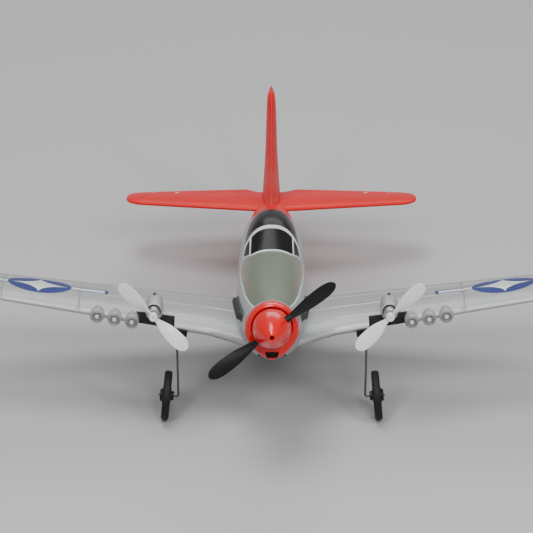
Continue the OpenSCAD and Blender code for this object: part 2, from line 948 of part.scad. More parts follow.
module nose_propeller() {
    color(black)
        stand()
            rotate([0, -nose_prop_angle, 0])
                resize([0, 0, 0])
                    difference() {
                        union() {
                            for (q = [0, 180])
                                rotate([0, q, 0])
                                    translate([0, 20, 0]) {
                                        rod([0, 0, 0], [17, 0, 0], 2.3);
                                        blade(14.4, nose_prop_dia / 2, 5, 10, 2.6, 60, 1);
                                    }
                            rod([0, 17.2, 0], [0, 23.4, 0], 4.2);
                        }
                        rod([0, 10, 0], [0, 30, 0], 1);
                    }
}

module nose_shaft() {
    color(metal)
        stand()
            rotate([-90, 0, 0])
                rotate_extrude()
                    polygon([[0, 16], [1, 16], [1, 46.6], [2.4, 46.6], [2.4, 48.4], [0, 48.4]]);
}

module wing_prop(s) {
    side(s)
        translate([motor_x, 80, -6])
            rotate([0, -45, 0])
                difference() {
                    union() {
                        rod([0, -3, 0], [0, 3, 0], 2.9);
                        for (q = [0, 180])
                            rotate([0, q, 0])
                                blade(1.6, wing_prop_dia / 2, 4.4, 10.6, 2, 45, 1);
                    }
                    rod([0, -2, 0], [0, 5, 0], 0.5);
                }
}

module propeller_left() {
    color(white)
        stand()
            resize([0, 0, 0])
                wing_prop(1);
}

module propeller_right() {
    color(white)
        stand()
            resize([0, 0, 0])
                wing_prop(-1);
}

module motor_shaft(s) {
    side(s)
        rod([motor_x, 78, -6], [motor_x, 100, -6], 0.5);
}

module motor_shaft_left() {
    color(metal)
        stand()
            motor_shaft(1);
}

module motor_shaft_right() {
    color(metal)
        stand()
            motor_shaft(-1);
}

// Main wheel with its axle along local x; the outer cap is on +x
module at_wheel(s) {
    side(s)
        translate(main_at)
            rotate([0, -camber, 0])
                rotate([0, 90, 0])
                    children();
}

module tyre() {
    r = wheel_dia / 2;
    rotate_extrude($fn = 72)
        polygon([[7.2, -1.8], [12.6, -2.6], [r - 1.6, -2.75], [r - 0.5, -2.3], [r - 0.04, -1.6], [r, 0],
            [r - 0.04, 1.6], [r - 0.5, 2.3], [r - 1.6, 2.75], [12.6, 2.6], [7.2, 1.8]]);
}

module hub() {
    rotate_extrude($fn = 48)
        polygon([[0.8, -5], [3.2, -5], [3.4, -3.2], [6.2, -2.6], [7.2, -1.8], [7.2, 1.8], [6.6, 2.6],
            [4.6, 3.2], [4.2, 4.6], [0.8, 4.8]]);
}

module tyre_left() {
    color(black)
        stand()
            at_wheel(1)
                tyre();
}

module tyre_right() {
    color(black)
        stand()
            at_wheel(-1)
                tyre();
}

module wheel_hub_left() {
    color(black)
        stand()
            at_wheel(1)
                hub();
}

module wheel_hub_right() {
    color(black)
        stand()
            at_wheel(-1)
                hub();
}

module tail_wheel() {
    r = tail_wheel_dia / 2;
    color(black)
        stand()
            translate(tail_at)
                rotate([0, 90, 0])
                    rotate_extrude($fn = 48)
                        polygon([[0.8, -2.4], [2.4, -2.4], [2.8, -1.4], [r - 1, -1.9], [r - 0.2, -1.2],
                            [r, 0], [r - 0.2, 1.2], [r - 1, 1.9], [2.8, 1.4], [2.4, 2.4], [0.8, 2.4]]);
}

fuselage_left();
fuselage_right();
rear_fuselage();
cowl_ring();
chin_intake();
nose_deck();
canopy_shell();
windshield_frame();
exhaust_left();
exhaust_right();
wing_left();
wing_right();
wing_spar();
gun_muzzles();
gun_cores();
firewalls();
motor_pod_left();
motor_pod_right();
motor_can_left();
motor_can_right();
motor_leads();
gear_mount_left();
gear_mount_right();
gear_screws();
gear_leg_left();
gear_leg_right();
tailplane();
fin();
elevator_hinges();
rudder_hinges();
tail_leg();
nose_bush();
battery_tray();
battery();
battery_lead();
receiver_board();
antenna();
switch_body();
hatch_pin();
spinner();
spinner_plate();
nose_propeller();
nose_shaft();
propeller_left();
propeller_right();
motor_shaft_left();
motor_shaft_right();
elevator_left();
elevator_right();
elevator_rod();
tyre_left();
tyre_right();
wheel_hub_left();
wheel_hub_right();
tail_wheel();
rudder();
battery_hatch();
switch_slider();
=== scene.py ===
import math

import bmesh
import bpy
import numpy as np
from mathutils import Matrix, Vector


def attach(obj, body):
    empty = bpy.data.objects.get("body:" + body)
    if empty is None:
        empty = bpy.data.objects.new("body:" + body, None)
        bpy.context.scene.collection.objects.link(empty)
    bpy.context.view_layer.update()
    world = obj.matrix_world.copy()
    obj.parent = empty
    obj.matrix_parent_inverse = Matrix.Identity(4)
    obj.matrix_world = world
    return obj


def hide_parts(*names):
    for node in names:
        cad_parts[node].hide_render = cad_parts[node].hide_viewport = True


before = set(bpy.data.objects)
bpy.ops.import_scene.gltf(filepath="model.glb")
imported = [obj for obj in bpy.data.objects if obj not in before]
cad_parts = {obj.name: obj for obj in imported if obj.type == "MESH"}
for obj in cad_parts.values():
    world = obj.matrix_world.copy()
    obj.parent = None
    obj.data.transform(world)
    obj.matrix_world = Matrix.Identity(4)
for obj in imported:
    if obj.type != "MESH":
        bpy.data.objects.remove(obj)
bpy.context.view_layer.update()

# A foam model aeroplane dressed over its CAD frame: sections below go from nose to tail.
#
# ---------------------------------------------------------------- level frame, as in the CAD source
# x to the aeroplane's left, y aft from the spinner tip, z up from the thrust line, millimetres.
SPAN = 240.0
MOTOR_X = 81.5
CAMBER = math.radians(5.4)
MAIN = (73.0, 95.0, -66.0)
TAIL = (0.0, 345.0, -28.5)
WHEEL_R = 17.25
TAIL_R = 7.5
MID_Y = 207.8
HINGE_Y = 377.0
HINGE_END = 88.5
LOW = (WHEEL_R - 0.04) * math.cos(CAMBER) + 1.6 * math.sin(CAMBER)
LEAN = (TAIL[1] - MAIN[1], TAIL[2] - MAIN[2])
STANCE = math.asin((LOW - TAIL_R) / math.hypot(*LEAN)) + math.atan2(LEAN[1], LEAN[0])
CS, SN = math.cos(STANCE), math.sin(STANCE)
FLOOR = -MAIN[1] * SN + MAIN[2] * CS - LOW


def row(p):
    """Level millimetres to the row frame in metres."""
    p = np.asarray(p, float)
    x, y, z = p[..., 0], p[..., 1], p[..., 2]
    return np.stack([x, y * CS + z * SN - MID_Y, -y * SN + z * CS - FLOOR], -1) * 0.001


def turn(d):
    """A level-frame direction in the row frame."""
    d = np.asarray(d, float)
    return np.array([d[0], d[1] * CS + d[2] * SN, -d[1] * SN + d[2] * CS])


def curve(k, t):
    """The CAD source's smooth curve through a table of [key, value] rows."""
    n = len(t)
    i = 0
    while i < n - 2 and k >= t[i + 1][0]:
        i += 1

    def grad(j):
        a, b = max(j - 1, 0), min(j + 1, n - 1)
        return (t[b][1] - t[a][1]) / (t[b][0] - t[a][0])

    h = t[i + 1][0] - t[i][0]
    u = (k - t[i][0]) / h
    return (t[i][1] * (2 * u**3 - 3 * u**2 + 1) + grad(i) * h * (u**3 - 2 * u**2 + u)
            + t[i + 1][1] * (3 * u**2 - 2 * u**3) + grad(i + 1) * h * (u**3 - u**2))


def look(k, t):
    """Straight-line reading of a table of [key, value] rows."""
    return float(np.interp(k, [r[0] for r in t], [r[1] for r in t]))


def spow(v, p):
    """Power that keeps the sign."""
    return math.copysign(abs(v) ** p, v)


BODY_W = [[28, 16.6], [30, 18], [36, 19], [60, 21.5], [90, 23.5], [130, 24.4], [180, 24.2],
          [220, 23.5], [265, 21.8], [300, 18], [340, 13], [375, 7.4], [386, 5.2]]
BODY_T = [[28, 14.4], [30, 15.9], [36, 17], [60, 20], [90, 23], [130, 26], [180, 27], [220, 26],
          [265, 23.5], [300, 20.5], [340, 17], [375, 14.8], [386, 14]]
BODY_B = [[28, -21.2], [30, -22.8], [36, -24], [60, -29.5], [90, -34], [130, -36], [180, -36.5],
          [220, -38], [265, -30], [300, -22], [340, -14], [375, -7], [386, -4.5]]
BODY_M = [[28, -2.5], [36, -2.5], [90, -4], [180, -5], [220, -4], [265, -2], [300, 0], [340, 2],
          [375, 4], [386, 4.8]]
BODY_NT = [[28, 1.9], [36, 1.9], [60, 2.2], [90, 2.4], [400, 2.4]]
BODY_NB = [[28, 1.6], [36, 1.65], [56, 2.3], [90, 2.4], [400, 2.4]]


def body_pt(y, a, off=0.0):
    """Point of the fuselage section at y, angle a in degrees from the top, off mm outside."""
    w, t = curve(y, BODY_W) + off, curve(y, BODY_T) + off
    b, m = curve(y, BODY_B) - off, curve(y, BODY_M)
    s, c = math.sin(math.radians(a)), math.cos(math.radians(a))
    p = 2 / look(y, BODY_NT if c > 0 else BODY_NB)
    c = spow(c, p)
    return (w * spow(s, p), y, m + (c * (t - m) if c > 0 else c * (m - b)))


def body_top(y, x):
    """Height of the fuselage's upper surface at (x, y)."""
    w, t, m = curve(y, BODY_W), curve(y, BODY_T), curve(y, BODY_M)
    n = look(y, BODY_NT)
    return m + (t - m) * max(0.0, 1 - (abs(x) / w) ** n) ** (1 / n)


def thick(s, t):
    return 5 * t * (0.2969 * math.sqrt(s) - 0.126 * s - 0.3516 * s**2 + 0.2843 * s**3
                    - 0.1036 * s**4)


def camber_line(s):
    return 0.125 * (0.8 * s - s**2) if s < 0.4 else 0.0556 * (0.2 + 0.8 * s - s**2)


def wing_le(x):
    return look(x, [[0, 78], [18, 84], [24, 87.4], [38, 95.6], [44, 98.3], [50, 98.9],
                    [SPAN, 110]])


def wing_te(x):
    return 211 - 43.0 * x / SPAN


def wing_z(x):
    return -28.8 + 0.154 * x


def wing_pt(x, s, up):
    """Point of the wing at x, share s of the chord, upper or lower side."""
    k = 1.0 if x < SPAN - 14 else math.sqrt(max(0.02, 1 - ((x - SPAN + 14) / 14) ** 2))
    l0, e0 = wing_le(x), wing_te(x)
    l, e = l0 + (1 - k) * 14, e0 - (1 - k) * 9
    c = e - l
    t = (0.125 - 0.02 * x / SPAN) * (e0 - l0) / c * k**0.7
    h = c * thick(s, t) + 0.5 * s
    return (x, l + c * s, wing_z(x) + c * camber_line(s) + (h if up else -h))


# ---------------------------------------------------------------- mesh helpers
scene = bpy.context.scene
MATS = {}


BOX_FACES = [(0, 1, 3, 2), (4, 6, 7, 5), (0, 4, 5, 1), (2, 3, 7, 6), (0, 2, 6, 4), (1, 5, 7, 3)]
PRISM_FACES = [(0, 1, 2, 3), (7, 6, 5, 4), (0, 4, 5, 1), (1, 5, 6, 2), (2, 6, 7, 3), (3, 7, 4, 0)]


def box_points(lo, hi):
    return [(x, y, z) for x in (lo[0], hi[0]) for y in (lo[1], hi[1]) for z in (lo[2], hi[2])]


def mesh_object(name, verts, faces, material=None, sharp=35.0):
    """verts are in row-frame metres."""
    me = bpy.data.meshes.new(name)
    me.from_pydata([tuple(v) for v in verts], [], [tuple(f) for f in faces])
    me.validate()
    bm = bmesh.new()
    bm.from_mesh(me)
    bmesh.ops.remove_doubles(bm, verts=bm.verts, dist=1e-7)
    bmesh.ops.recalc_face_normals(bm, faces=bm.faces)
    bm.to_mesh(me)
    bm.free()
    me.polygons.foreach_set("use_smooth", [True] * len(me.polygons))
    me.set_sharp_from_angle(angle=math.radians(sharp))
    ob = bpy.data.objects.new(name, me)
    scene.collection.objects.link(ob)
    if material:
        me.materials.append(MATS[material])
    return ob


def resharpen(ob, sharp=35.0):
    ob.data.polygons.foreach_set("use_smooth", [True] * len(ob.data.polygons))
    ob.data.set_sharp_from_angle(angle=math.radians(sharp))


def bake_modifiers(ob):
    dg = bpy.context.evaluated_depsgraph_get()
    me = bpy.data.meshes.new_from_object(ob.evaluated_get(dg))
    ob.modifiers.clear()
    old = ob.data
    ob.data = me
    bpy.data.meshes.remove(old)


def boolean(ob, cutters, sharp=35.0):
    """Cuts the cutters out of ob and deletes them."""
    for c in cutters:
        m = ob.modifiers.new("cut", "BOOLEAN")
        m.object = c
        m.operation = "DIFFERENCE"
        m.solver = "EXACT"
    bpy.context.view_layer.update()
    bake_modifiers(ob)
    for c in cutters:
        bpy.data.objects.remove(c)
    resharpen(ob, sharp)
    return ob


def grid_faces(m, n):
    """Quads between m closed rings of n points."""
    f = []
    for i in range(m - 1):
        for j in range(n):
            a, b = i * n + j, i * n + (j + 1) % n
            f.append((a, a + n, b + n, b))
    return f


def loft(name, rings, material, caps="strip", sharp=35.0):
    """Closed skin over equal closed rings given in level millimetres."""
    P = np.asarray(rings, float)
    m, n = P.shape[:2]
    f = grid_faces(m, n)
    for base in (0, (m - 1) * n):
        if caps == "strip":
            for j in range(n // 2 - 1):
                f.append((base + j, base + j + 1, base + n - 2 - j, base + n - 1 - j))
        elif caps == "fan":
            f.append(tuple(base + j for j in range(n)))
    return mesh_object(name, row(P.reshape(-1, 3)), f, material, sharp)


def normals(P):
    """Outward normals of a ring grid (rings run clockwise seen along their rising axis)."""
    du = np.gradient(P, axis=0)
    dv = np.roll(P, -1, axis=1) - np.roll(P, 1, axis=1)
    n = np.cross(du, dv)
    n /= np.linalg.norm(n, axis=2, keepdims=True) + 1e-12
    centre = P.mean(axis=1, keepdims=True)
    if (n * (P - centre)).sum() < 0:
        n = -n
    return n


def with_lines(base, lines, w):
    """Stations plus five around every groove line, with crowding ones dropped."""
    keep = [v for v in base if all(abs(v - g) > 1.6 * w for g in lines)]
    for g in lines:
        keep += [g - w, g - w / 2, g, g + w / 2, g + w]
    return sorted(keep)


def groove(d, w):
    return max(0.0, 1 - (abs(d) / w) ** 2)


def frame_matrix(origin, z, x=None):
    """Local frame in the level system: local z along z, local x near x."""
    z = Vector(z).normalized()
    x = Vector(x if x is not None else ((1, 0, 0) if abs(z.x) < 0.9 else (0, 1, 0)))
    x = (x - z * x.dot(z)).normalized()
    y = z.cross(x)
    m = Matrix((x, y, z)).transposed().to_4x4()
    m.translation = Vector(origin)
    return m


def put(verts, m):
    a = np.asarray(verts, float)
    r = np.array(m)[:3, :3]
    return a @ r.T + np.array(m)[:3, 3]


def lathe(name, profile, m, material, seg=72, closed=True, sharp=35.0):
    """Turns [radius, height] points about local z. A closed profile is a ring solid."""
    v, n = [], len(profile)
    for i in range(seg):
        a = 2 * math.pi * i / seg
        for r, h in profile:
            v.append((r * math.cos(a), r * math.sin(a), h))
    f = []
    for i in range(seg):
        k = (i + 1) % seg
        for j in range(n if closed else n - 1):
            l = (j + 1) % n
            f.append((i * n + j, k * n + j, k * n + l, i * n + l))
    return mesh_object(name, row(put(v, m)), f, material, sharp)


def smooth_path(pts, bend, steps=8):
    """Polyline with each corner rounded by a quadratic arc that starts bend mm before it."""
    pts = [np.array(p, float) for p in pts]
    out = [pts[0]]
    for i in range(1, len(pts) - 1):
        a, b, c = pts[i - 1], pts[i], pts[i + 1]
        d0, d1 = a - b, c - b
        k0, k1 = min(bend, np.linalg.norm(d0) * 0.45), min(bend, np.linalg.norm(d1) * 0.45)
        p, q = b + d0 / np.linalg.norm(d0) * k0, b + d1 / np.linalg.norm(d1) * k1
        for j in range(steps + 1):
            t = j / steps
            out.append(p * (1 - t) ** 2 + b * 2 * t * (1 - t) + q * t**2)
    out.append(pts[-1])
    return np.array(out)


def tube(name, path, r, material, seg=16):
    """Round wire along a path; r is one radius or one for each point."""
    path = np.asarray(path, float)
    n = len(path)
    t = np.gradient(path, axis=0)
    t /= np.linalg.norm(t, axis=1, keepdims=True)
    ref = np.array([0.31, 0.83, 0.46])
    u = ref - t[0] * ref.dot(t[0])
    u /= np.linalg.norm(u)
    v = []
    for i in range(n):
        u = u - t[i] * u.dot(t[i])
        u /= np.linalg.norm(u)
        w = np.cross(t[i], u)
        rr = r[i] if hasattr(r, "__len__") else r
        for j in range(seg):
            a = 2 * math.pi * j / seg
            v.append(path[i] + rr * (u * math.cos(a) + w * math.sin(a)))
    f = grid_faces(n, seg)
    f += [tuple(range(seg)), tuple((n - 1) * seg + j for j in range(seg))]
    return mesh_object(name, row(np.array(v)), f, material)


def block(name, lo, hi, material, bevel):
    """Box with softened edges, given in level millimetres."""
    ob = mesh_object(name, row(np.array(box_points(lo, hi), float)), BOX_FACES, material)
    b = ob.modifiers.new("bevel", "BEVEL")
    b.width = bevel * 0.001
    b.segments = 3
    b.limit_method = "ANGLE"
    bpy.context.view_layer.update()
    bake_modifiers(ob)
    resharpen(ob, 50)
    return ob


def join(name, obs):
    """One object made of several, keeping each one's material."""
    bm = bmesh.new()
    slots = []
    for o in obs:
        base = len(bm.faces)
        tmp = o.data
        idx = []
        for mt in tmp.materials:
            if mt not in slots:
                slots.append(mt)
            idx.append(slots.index(mt))
        bm.from_mesh(tmp)
        bm.faces.ensure_lookup_table()
        for k in range(base, len(bm.faces)):
            f = bm.faces[k]
            f.material_index = idx[f.material_index] if idx else 0
    me = bpy.data.meshes.new(name)
    bm.to_mesh(me)
    bm.free()
    for mt in slots:
        me.materials.append(mt)
    for o in obs:
        bpy.data.objects.remove(o)
    ob = bpy.data.objects.new(name, me)
    scene.collection.objects.link(ob)
    return ob


def done(ob, body, slot, *nodes):
    """Rides a finished piece on its body and hides the CAD nodes it stands for; slot is not used."""
    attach(ob, body)
    if nodes:
        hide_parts(*nodes)
    return ob


def mirrored(ob, name):
    """A copy of ob mirrored across the aeroplane's middle plane."""
    me = ob.data.copy()
    bm = bmesh.new()
    bm.from_mesh(me)
    bmesh.ops.scale(bm, vec=(-1, 1, 1), verts=bm.verts)
    bmesh.ops.reverse_faces(bm, faces=bm.faces)
    bm.to_mesh(me)
    bm.free()
    c = bpy.data.objects.new(name, me)
    scene.collection.objects.link(c)
    return c


# ---------------------------------------------------------------- materials
def add(nt, kind, **values):
    nd = nt.nodes.new(kind)
    for k, v in values.items():
        if k.startswith("in_"):
            nd.inputs[int(k[3:]) if k[3:].isdigit() else k[3:].replace("_", " ")].default_value = v
        else:
            setattr(nd, k, v)
    return nd


def material(name, color, rough=0.5, metallic=0.0, coat=0.0, coat_rough=0.08, spec=0.5,
             mottle=0.06, mottle_scale=60.0, rough_var=0.08, bumps=()):
    """A principled material with colour mottle, roughness variation and layered bumps.

    bumps: (bead or grain, scale per metre, strength, distance in metres)."""
    mt = bpy.data.materials.new(name)
    mt.use_nodes = True
    nt = mt.node_tree
    b = nt.nodes["Principled BSDF"]
    b.inputs["Metallic"].default_value = metallic
    b.inputs["Specular IOR Level"].default_value = spec
    b.inputs["Coat Weight"].default_value = coat
    b.inputs["Coat Roughness"].default_value = coat_rough
    tc = nt.nodes.new("ShaderNodeTexCoord")
    big = add(nt, "ShaderNodeTexNoise", in_Scale=mottle_scale, in_Detail=4.0)
    nt.links.new(tc.outputs["Object"], big.inputs["Vector"])
    ramp = nt.nodes.new("ShaderNodeValToRGB")
    c = np.array(color[:3])
    ramp.color_ramp.elements[0].position = 0.3
    ramp.color_ramp.elements[1].position = 0.7
    ramp.color_ramp.elements[0].color = (*(c * (1 - mottle)), 1)
    ramp.color_ramp.elements[1].color = (*np.minimum(c * (1 + mottle), 1), 1)
    nt.links.new(big.outputs["Fac"], ramp.inputs["Fac"])
    nt.links.new(ramp.outputs["Color"], b.inputs["Base Color"])
    fine = add(nt, "ShaderNodeTexNoise", in_Scale=mottle_scale * 9, in_Detail=3.0)
    nt.links.new(tc.outputs["Object"], fine.inputs["Vector"])
    mr = add(nt, "ShaderNodeMapRange", in_3=max(rough - rough_var, 0.02), in_4=rough + rough_var)
    nt.links.new(fine.outputs["Fac"], mr.inputs[0])
    nt.links.new(mr.outputs[0], b.inputs["Roughness"])
    last = None
    for kind, scale, strength, dist in bumps:
        if kind == "bead":
            t = add(nt, "ShaderNodeTexVoronoi", feature="DISTANCE_TO_EDGE", in_Scale=scale)
            out = t.outputs["Distance"]
            mr2 = add(nt, "ShaderNodeMapRange", in_1=0.0, in_2=0.22)
            nt.links.new(out, mr2.inputs[0])
            out = mr2.outputs[0]
        else:
            t = add(nt, "ShaderNodeTexNoise", in_Scale=scale, in_Detail=5.0, in_Roughness=0.65)
            out = t.outputs["Fac"]
        nt.links.new(tc.outputs["Object"], t.inputs["Vector"])
        bp = add(nt, "ShaderNodeBump", in_Strength=strength, in_Distance=dist)
        nt.links.new(out, bp.inputs["Height"])
        if last:
            nt.links.new(last.outputs["Normal"], bp.inputs["Normal"])
        last = bp
    if last:
        nt.links.new(last.outputs["Normal"], b.inputs["Normal"])
    MATS[name] = mt
    return mt


FOAM = [("bead", 330.0, 0.10, 0.00012), ("grain", 2400.0, 0.05, 0.00005)]
material("silver_foam", (0.40, 0.41, 0.42), 0.40, metallic=0.35, spec=0.5, mottle=0.03, bumps=FOAM)
material("red_foam", (0.70, 0.0, 0.001), 0.4, coat=0.08, coat_rough=0.25, spec=0.22, mottle=0.04, bumps=FOAM)
material("red_gloss", (0.68, 0.0, 0.001), 0.3, coat=0.7, coat_rough=0.03, spec=0.25, mottle=0.03,
         bumps=[("grain", 900.0, 0.02, 0.00005)])
material("olive", (0.125, 0.155, 0.105), 0.33, coat=0.35, coat_rough=0.22, mottle=0.05, bumps=FOAM)
material("canopy_black", (0.006, 0.006, 0.007), 0.34, coat=0.06, coat_rough=0.2, spec=0.2, mottle=0.2,
         bumps=[("grain", 500.0, 0.03, 0.00008)])
material("frame_grey", (0.62, 0.63, 0.64), 0.4, mottle=0.03, bumps=[("grain", 1800.0, 0.06, 0.00004)])
material("black_satin", (0.005, 0.005, 0.0055), 0.36, spec=0.3, mottle=0.25, rough_var=0.1,
         bumps=[("grain", 2200.0, 0.08, 0.00004)])
material("black_matte", (0.035, 0.035, 0.037), 0.55, mottle=0.25, bumps=[("grain", 2600.0, 0.18, 0.00006)])
material("dark_recess", (0.012, 0.012, 0.013), 0.7, mottle=0.2, bumps=[("grain", 900.0, 0.2, 0.0001)])
material("gun_grey", (0.24, 0.245, 0.255), 0.42, metallic=0.35, mottle=0.08,
         bumps=[("grain", 1800.0, 0.08, 0.00004)])
material("pale_plastic", (0.66, 0.66, 0.66), 0.38, mottle=0.03, bumps=[("grain", 1600.0, 0.05, 0.00004)])
material("white_plastic", (0.80, 0.80, 0.79), 0.3, coat=0.2, coat_rough=0.2, mottle=0.02,
         bumps=[("grain", 1400.0, 0.04, 0.00004)])
material("steel", (0.56, 0.56, 0.57), 0.28, metallic=1.0, mottle=0.05,
         bumps=[("grain", 3000.0, 0.05, 0.00003)])
material("leg_wire", (0.10, 0.10, 0.105), 0.4, metallic=0.8, mottle=0.05,
         bumps=[("grain", 3000.0, 0.05, 0.00003)])
material("line_orange", (0.42, 0.09, 0.05), 0.45, mottle=0.05, bumps=[("grain", 1800.0, 0.05, 0.00003)])
material("brass", (0.72, 0.52, 0.22), 0.3, metallic=1.0, mottle=0.05,
         bumps=[("grain", 3000.0, 0.05, 0.00003)])
material("rubber", (0.006, 0.006, 0.006), 0.6, spec=0.3, mottle=0.25, rough_var=0.1,
         bumps=[("grain", 3200.0, 0.3, 0.00006)])
material("board", (0.02, 0.13, 0.05), 0.4, mottle=0.15, bumps=[("grain", 1500.0, 0.1, 0.00005)])
material("wrap_blue", (0.03, 0.10, 0.36), 0.25, coat=0.4, mottle=0.05, bumps=[("grain", 400.0, 0.1, 0.0002)])
material("wire_red", (0.5, 0.02, 0.02), 0.4, mottle=0.05, bumps=[("grain", 2000.0, 0.05, 0.00003)])


# Roundel on the upper side of each wing: a plain disc with a four-pointed star and two bars
ROUNDEL_X, ROUNDEL_Y, ROUNDEL_R = 163.0, 142.0, 22.3
STAR_R, STAR_POWER = 20.5, 0.62
BAR_IN, BAR_OUT, BAR_HALF, BAR_EDGE = 115.0, 211.0, 6.5, 2.3


def wing_material():
    mt = material("wing_foam", (0.40, 0.41, 0.42), 0.40, metallic=0.35, mottle=0.03, bumps=FOAM)
    nt = mt.node_tree

    def put_in(socket, v):
        if isinstance(v, (int, float)):
            socket.default_value = v
        else:
            nt.links.new(v, socket)

    def calc(op, a, b=0.0):
        nd = nt.nodes.new("ShaderNodeMath")
        nd.operation = op
        put_in(nd.inputs[0], a)
        put_in(nd.inputs[1], b)
        return nd.outputs[0]

    tc = nt.nodes.new("ShaderNodeTexCoord")
    at = nt.nodes.new("ShaderNodeSeparateXYZ")
    nt.links.new(tc.outputs["Object"], at.inputs[0])
    facing = nt.nodes.new("ShaderNodeSeparateXYZ")
    nt.links.new(tc.outputs["Normal"], facing.inputs[0])
    x = calc("ABSOLUTE", calc("MULTIPLY", at.outputs[0], 1000.0))
    y = calc("SUBTRACT", calc("MULTIPLY", at.outputs[1], 1000.0 * CS),
             calc("MULTIPLY", at.outputs[2], 1000.0 * SN))
    y = calc("ADD", y, MID_Y * CS - FLOOR * SN)
    dx = calc("ABSOLUTE", calc("SUBTRACT", x, ROUNDEL_X))
    dy = calc("ABSOLUTE", calc("SUBTRACT", y, ROUNDEL_Y))
    r = calc("SQRT", calc("ADD", calc("MULTIPLY", dx, dx), calc("MULTIPLY", dy, dy)))
    disc = calc("LESS_THAN", r, ROUNDEL_R)
    star = calc("LESS_THAN", calc("ADD", calc("POWER", dx, STAR_POWER), calc("POWER", dy, STAR_POWER)),
                STAR_R ** STAR_POWER)
    half, mid = (BAR_OUT - BAR_IN) / 2, (BAR_OUT + BAR_IN) / 2
    along = calc("ABSOLUTE", calc("SUBTRACT", x, mid))
    bar = calc("MULTIPLY", calc("LESS_THAN", along, half), calc("LESS_THAN", dy, BAR_HALF))
    fill = calc("MULTIPLY", calc("LESS_THAN", along, half - BAR_EDGE),
                calc("LESS_THAN", dy, BAR_HALF - BAR_EDGE))
    top = calc("GREATER_THAN", facing.outputs[2], 0.2)
    blue = calc("MULTIPLY", calc("MAXIMUM", disc, bar), top)
    white = calc("MULTIPLY", calc("MAXIMUM", star, calc("MULTIPLY", fill, calc("SUBTRACT", 1.0, disc))), top)
    bsdf = nt.nodes["Principled BSDF"]
    color = bsdf.inputs["Base Color"].links[0].from_socket
    for mask, paint in ((blue, (0.012, 0.03, 0.20, 1)), (white, (0.80, 0.80, 0.80, 1))):
        mix = nt.nodes.new("ShaderNodeMix")
        mix.data_type = "RGBA"
        for k in mix.inputs:
            if k.type == "RGBA" and k.name == "B":
                k.default_value = paint
            if k.type == "RGBA" and k.name == "A":
                nt.links.new(color, k)
        nt.links.new(mask, mix.inputs[0])
        color = [o for o in mix.outputs if o.type == "RGBA"][0]
    nt.links.new(color, bsdf.inputs["Base Color"])


wing_material()

# ---------------------------------------------------------------- camera, floor and light
SENSOR = 36.0
FOCAL_SHARE = 3700.0 / 533.0
PITCH = math.radians(13.75)
DIST = 2606.0
AIM = (-3.66, 150.0, 12.6)
fw = turn((0, math.cos(PITCH), -math.sin(PITCH)))
up = turn((0, math.sin(PITCH), math.cos(PITCH)))
target = row(AIM)
cam = bpy.data.objects.new("camera", bpy.data.cameras.new("camera"))
scene.collection.objects.link(cam)
cam.data.sensor_width = SENSOR
cam.data.lens = SENSOR * FOCAL_SHARE
cam.data.clip_end = 50.0
pos = Vector(target - fw * DIST * 0.001)
rot = Matrix((Vector((1, 0, 0)), Vector(up), -Vector(fw))).transposed()
cam.matrix_world = Matrix.Translation(pos) @ rot.to_4x4()
scene.camera = cam

FLOOR_REACH = 8.0
FLOOR_DEEP = 0.02
floor = mesh_object("floor", box_points((-FLOOR_REACH, -FLOOR_REACH, -FLOOR_DEEP),
                                        (FLOOR_REACH, FLOOR_REACH, 0.0)), BOX_FACES)
material("floor_pale", (0.46, 0.46, 0.47), 0.55, mottle=0.012, mottle_scale=2.0, bumps=[])
floor.data.materials.append(MATS["floor_pale"])


def area(name, where, aim, size, power):
    """Soft rectangular light at where, facing aim."""
    d = bpy.data.lights.new(name, "AREA")
    d.shape = "RECTANGLE"
    d.size, d.size_y = size
    d.energy = power
    o = bpy.data.objects.new(name, d)
    scene.collection.objects.link(o)
    o.location = where
    o.rotation_euler = (Vector(aim) - Vector(where)).to_track_quat("-Z", "Y").to_euler()
    return o


area("key_top", (-0.3, 0.1, 2.1), (0, 0, 0), (1.1, 0.9), 24)
NOSE = Vector((0.0, -0.2, 0.09))
for label, azimuth in (("left", -26), ("mid", 14), ("right", 46)):
    away = Vector((math.sin(math.radians(azimuth)), -math.cos(math.radians(azimuth)), 0.95)) * 1.15
    area("strip_" + label, NOSE + away, NOSE, (0.26, 0.75), 8)
area("back_top", (0.2, 1.5, 1.3), (0, 0.1, 0), (1.6, 0.7), 10)
world = bpy.data.worlds.new("soft")
scene.world = world
world.use_nodes = True
world.node_tree.nodes["Background"].inputs[0].default_value = (0.93, 0.94, 0.96, 1)
world.node_tree.nodes["Background"].inputs[1].default_value = 0.34

# ---------------------------------------------------------------- fuselage
RING = 96
COWL_Y = 36.0


LINE_W = 0.45
LINE_DEEP = 0.3


def body_ring(y, off=0.0):
    return [body_pt(y, 360 * (j + 0.5) / RING, off) for j in range(RING)]


def body_grid(y0, y1, step, lines):
    """Rings of the fuselage skin from y0 to y1, sunk along the panel lines."""
    base = np.linspace(y0, y1, max(2, int(round((y1 - y0) / step)) + 1))
    ys = with_lines(list(base), lines, LINE_W)
    ys = [min(max(y, y0), y1) for y in ys]
    ys[0], ys[-1] = y0, y1
    P = np.array([body_ring(y) for y in ys])
    N = normals(P)
    for i, y in enumerate(ys):
        P[i] -= N[i] * max(groove(y - at, LINE_W) for at in lines) * LINE_DEEP
    return P


RED_FROM = 280.0
TAIL_END = 381.0
BELLY_AT = (66.0, -27.2)
BELLY_SLOPE = math.radians(9.4)
skin = loft("fuselage_skin", body_grid(COWL_Y, RED_FROM, 4.0, [57.0, 100.0, 214.0, 250.0]), "silver_foam")


def belly(v):
    """Sloping belly frame of the tray, hatch and switch, to level millimetres."""
    v = np.asarray(v, float)
    c, s = math.cos(BELLY_SLOPE), math.sin(BELLY_SLOPE)
    y, z = v[..., 1], v[..., 2]
    return np.stack([v[..., 0], BELLY_AT[0] + y * c + z * s, BELLY_AT[1] - y * s + z * c], -1)


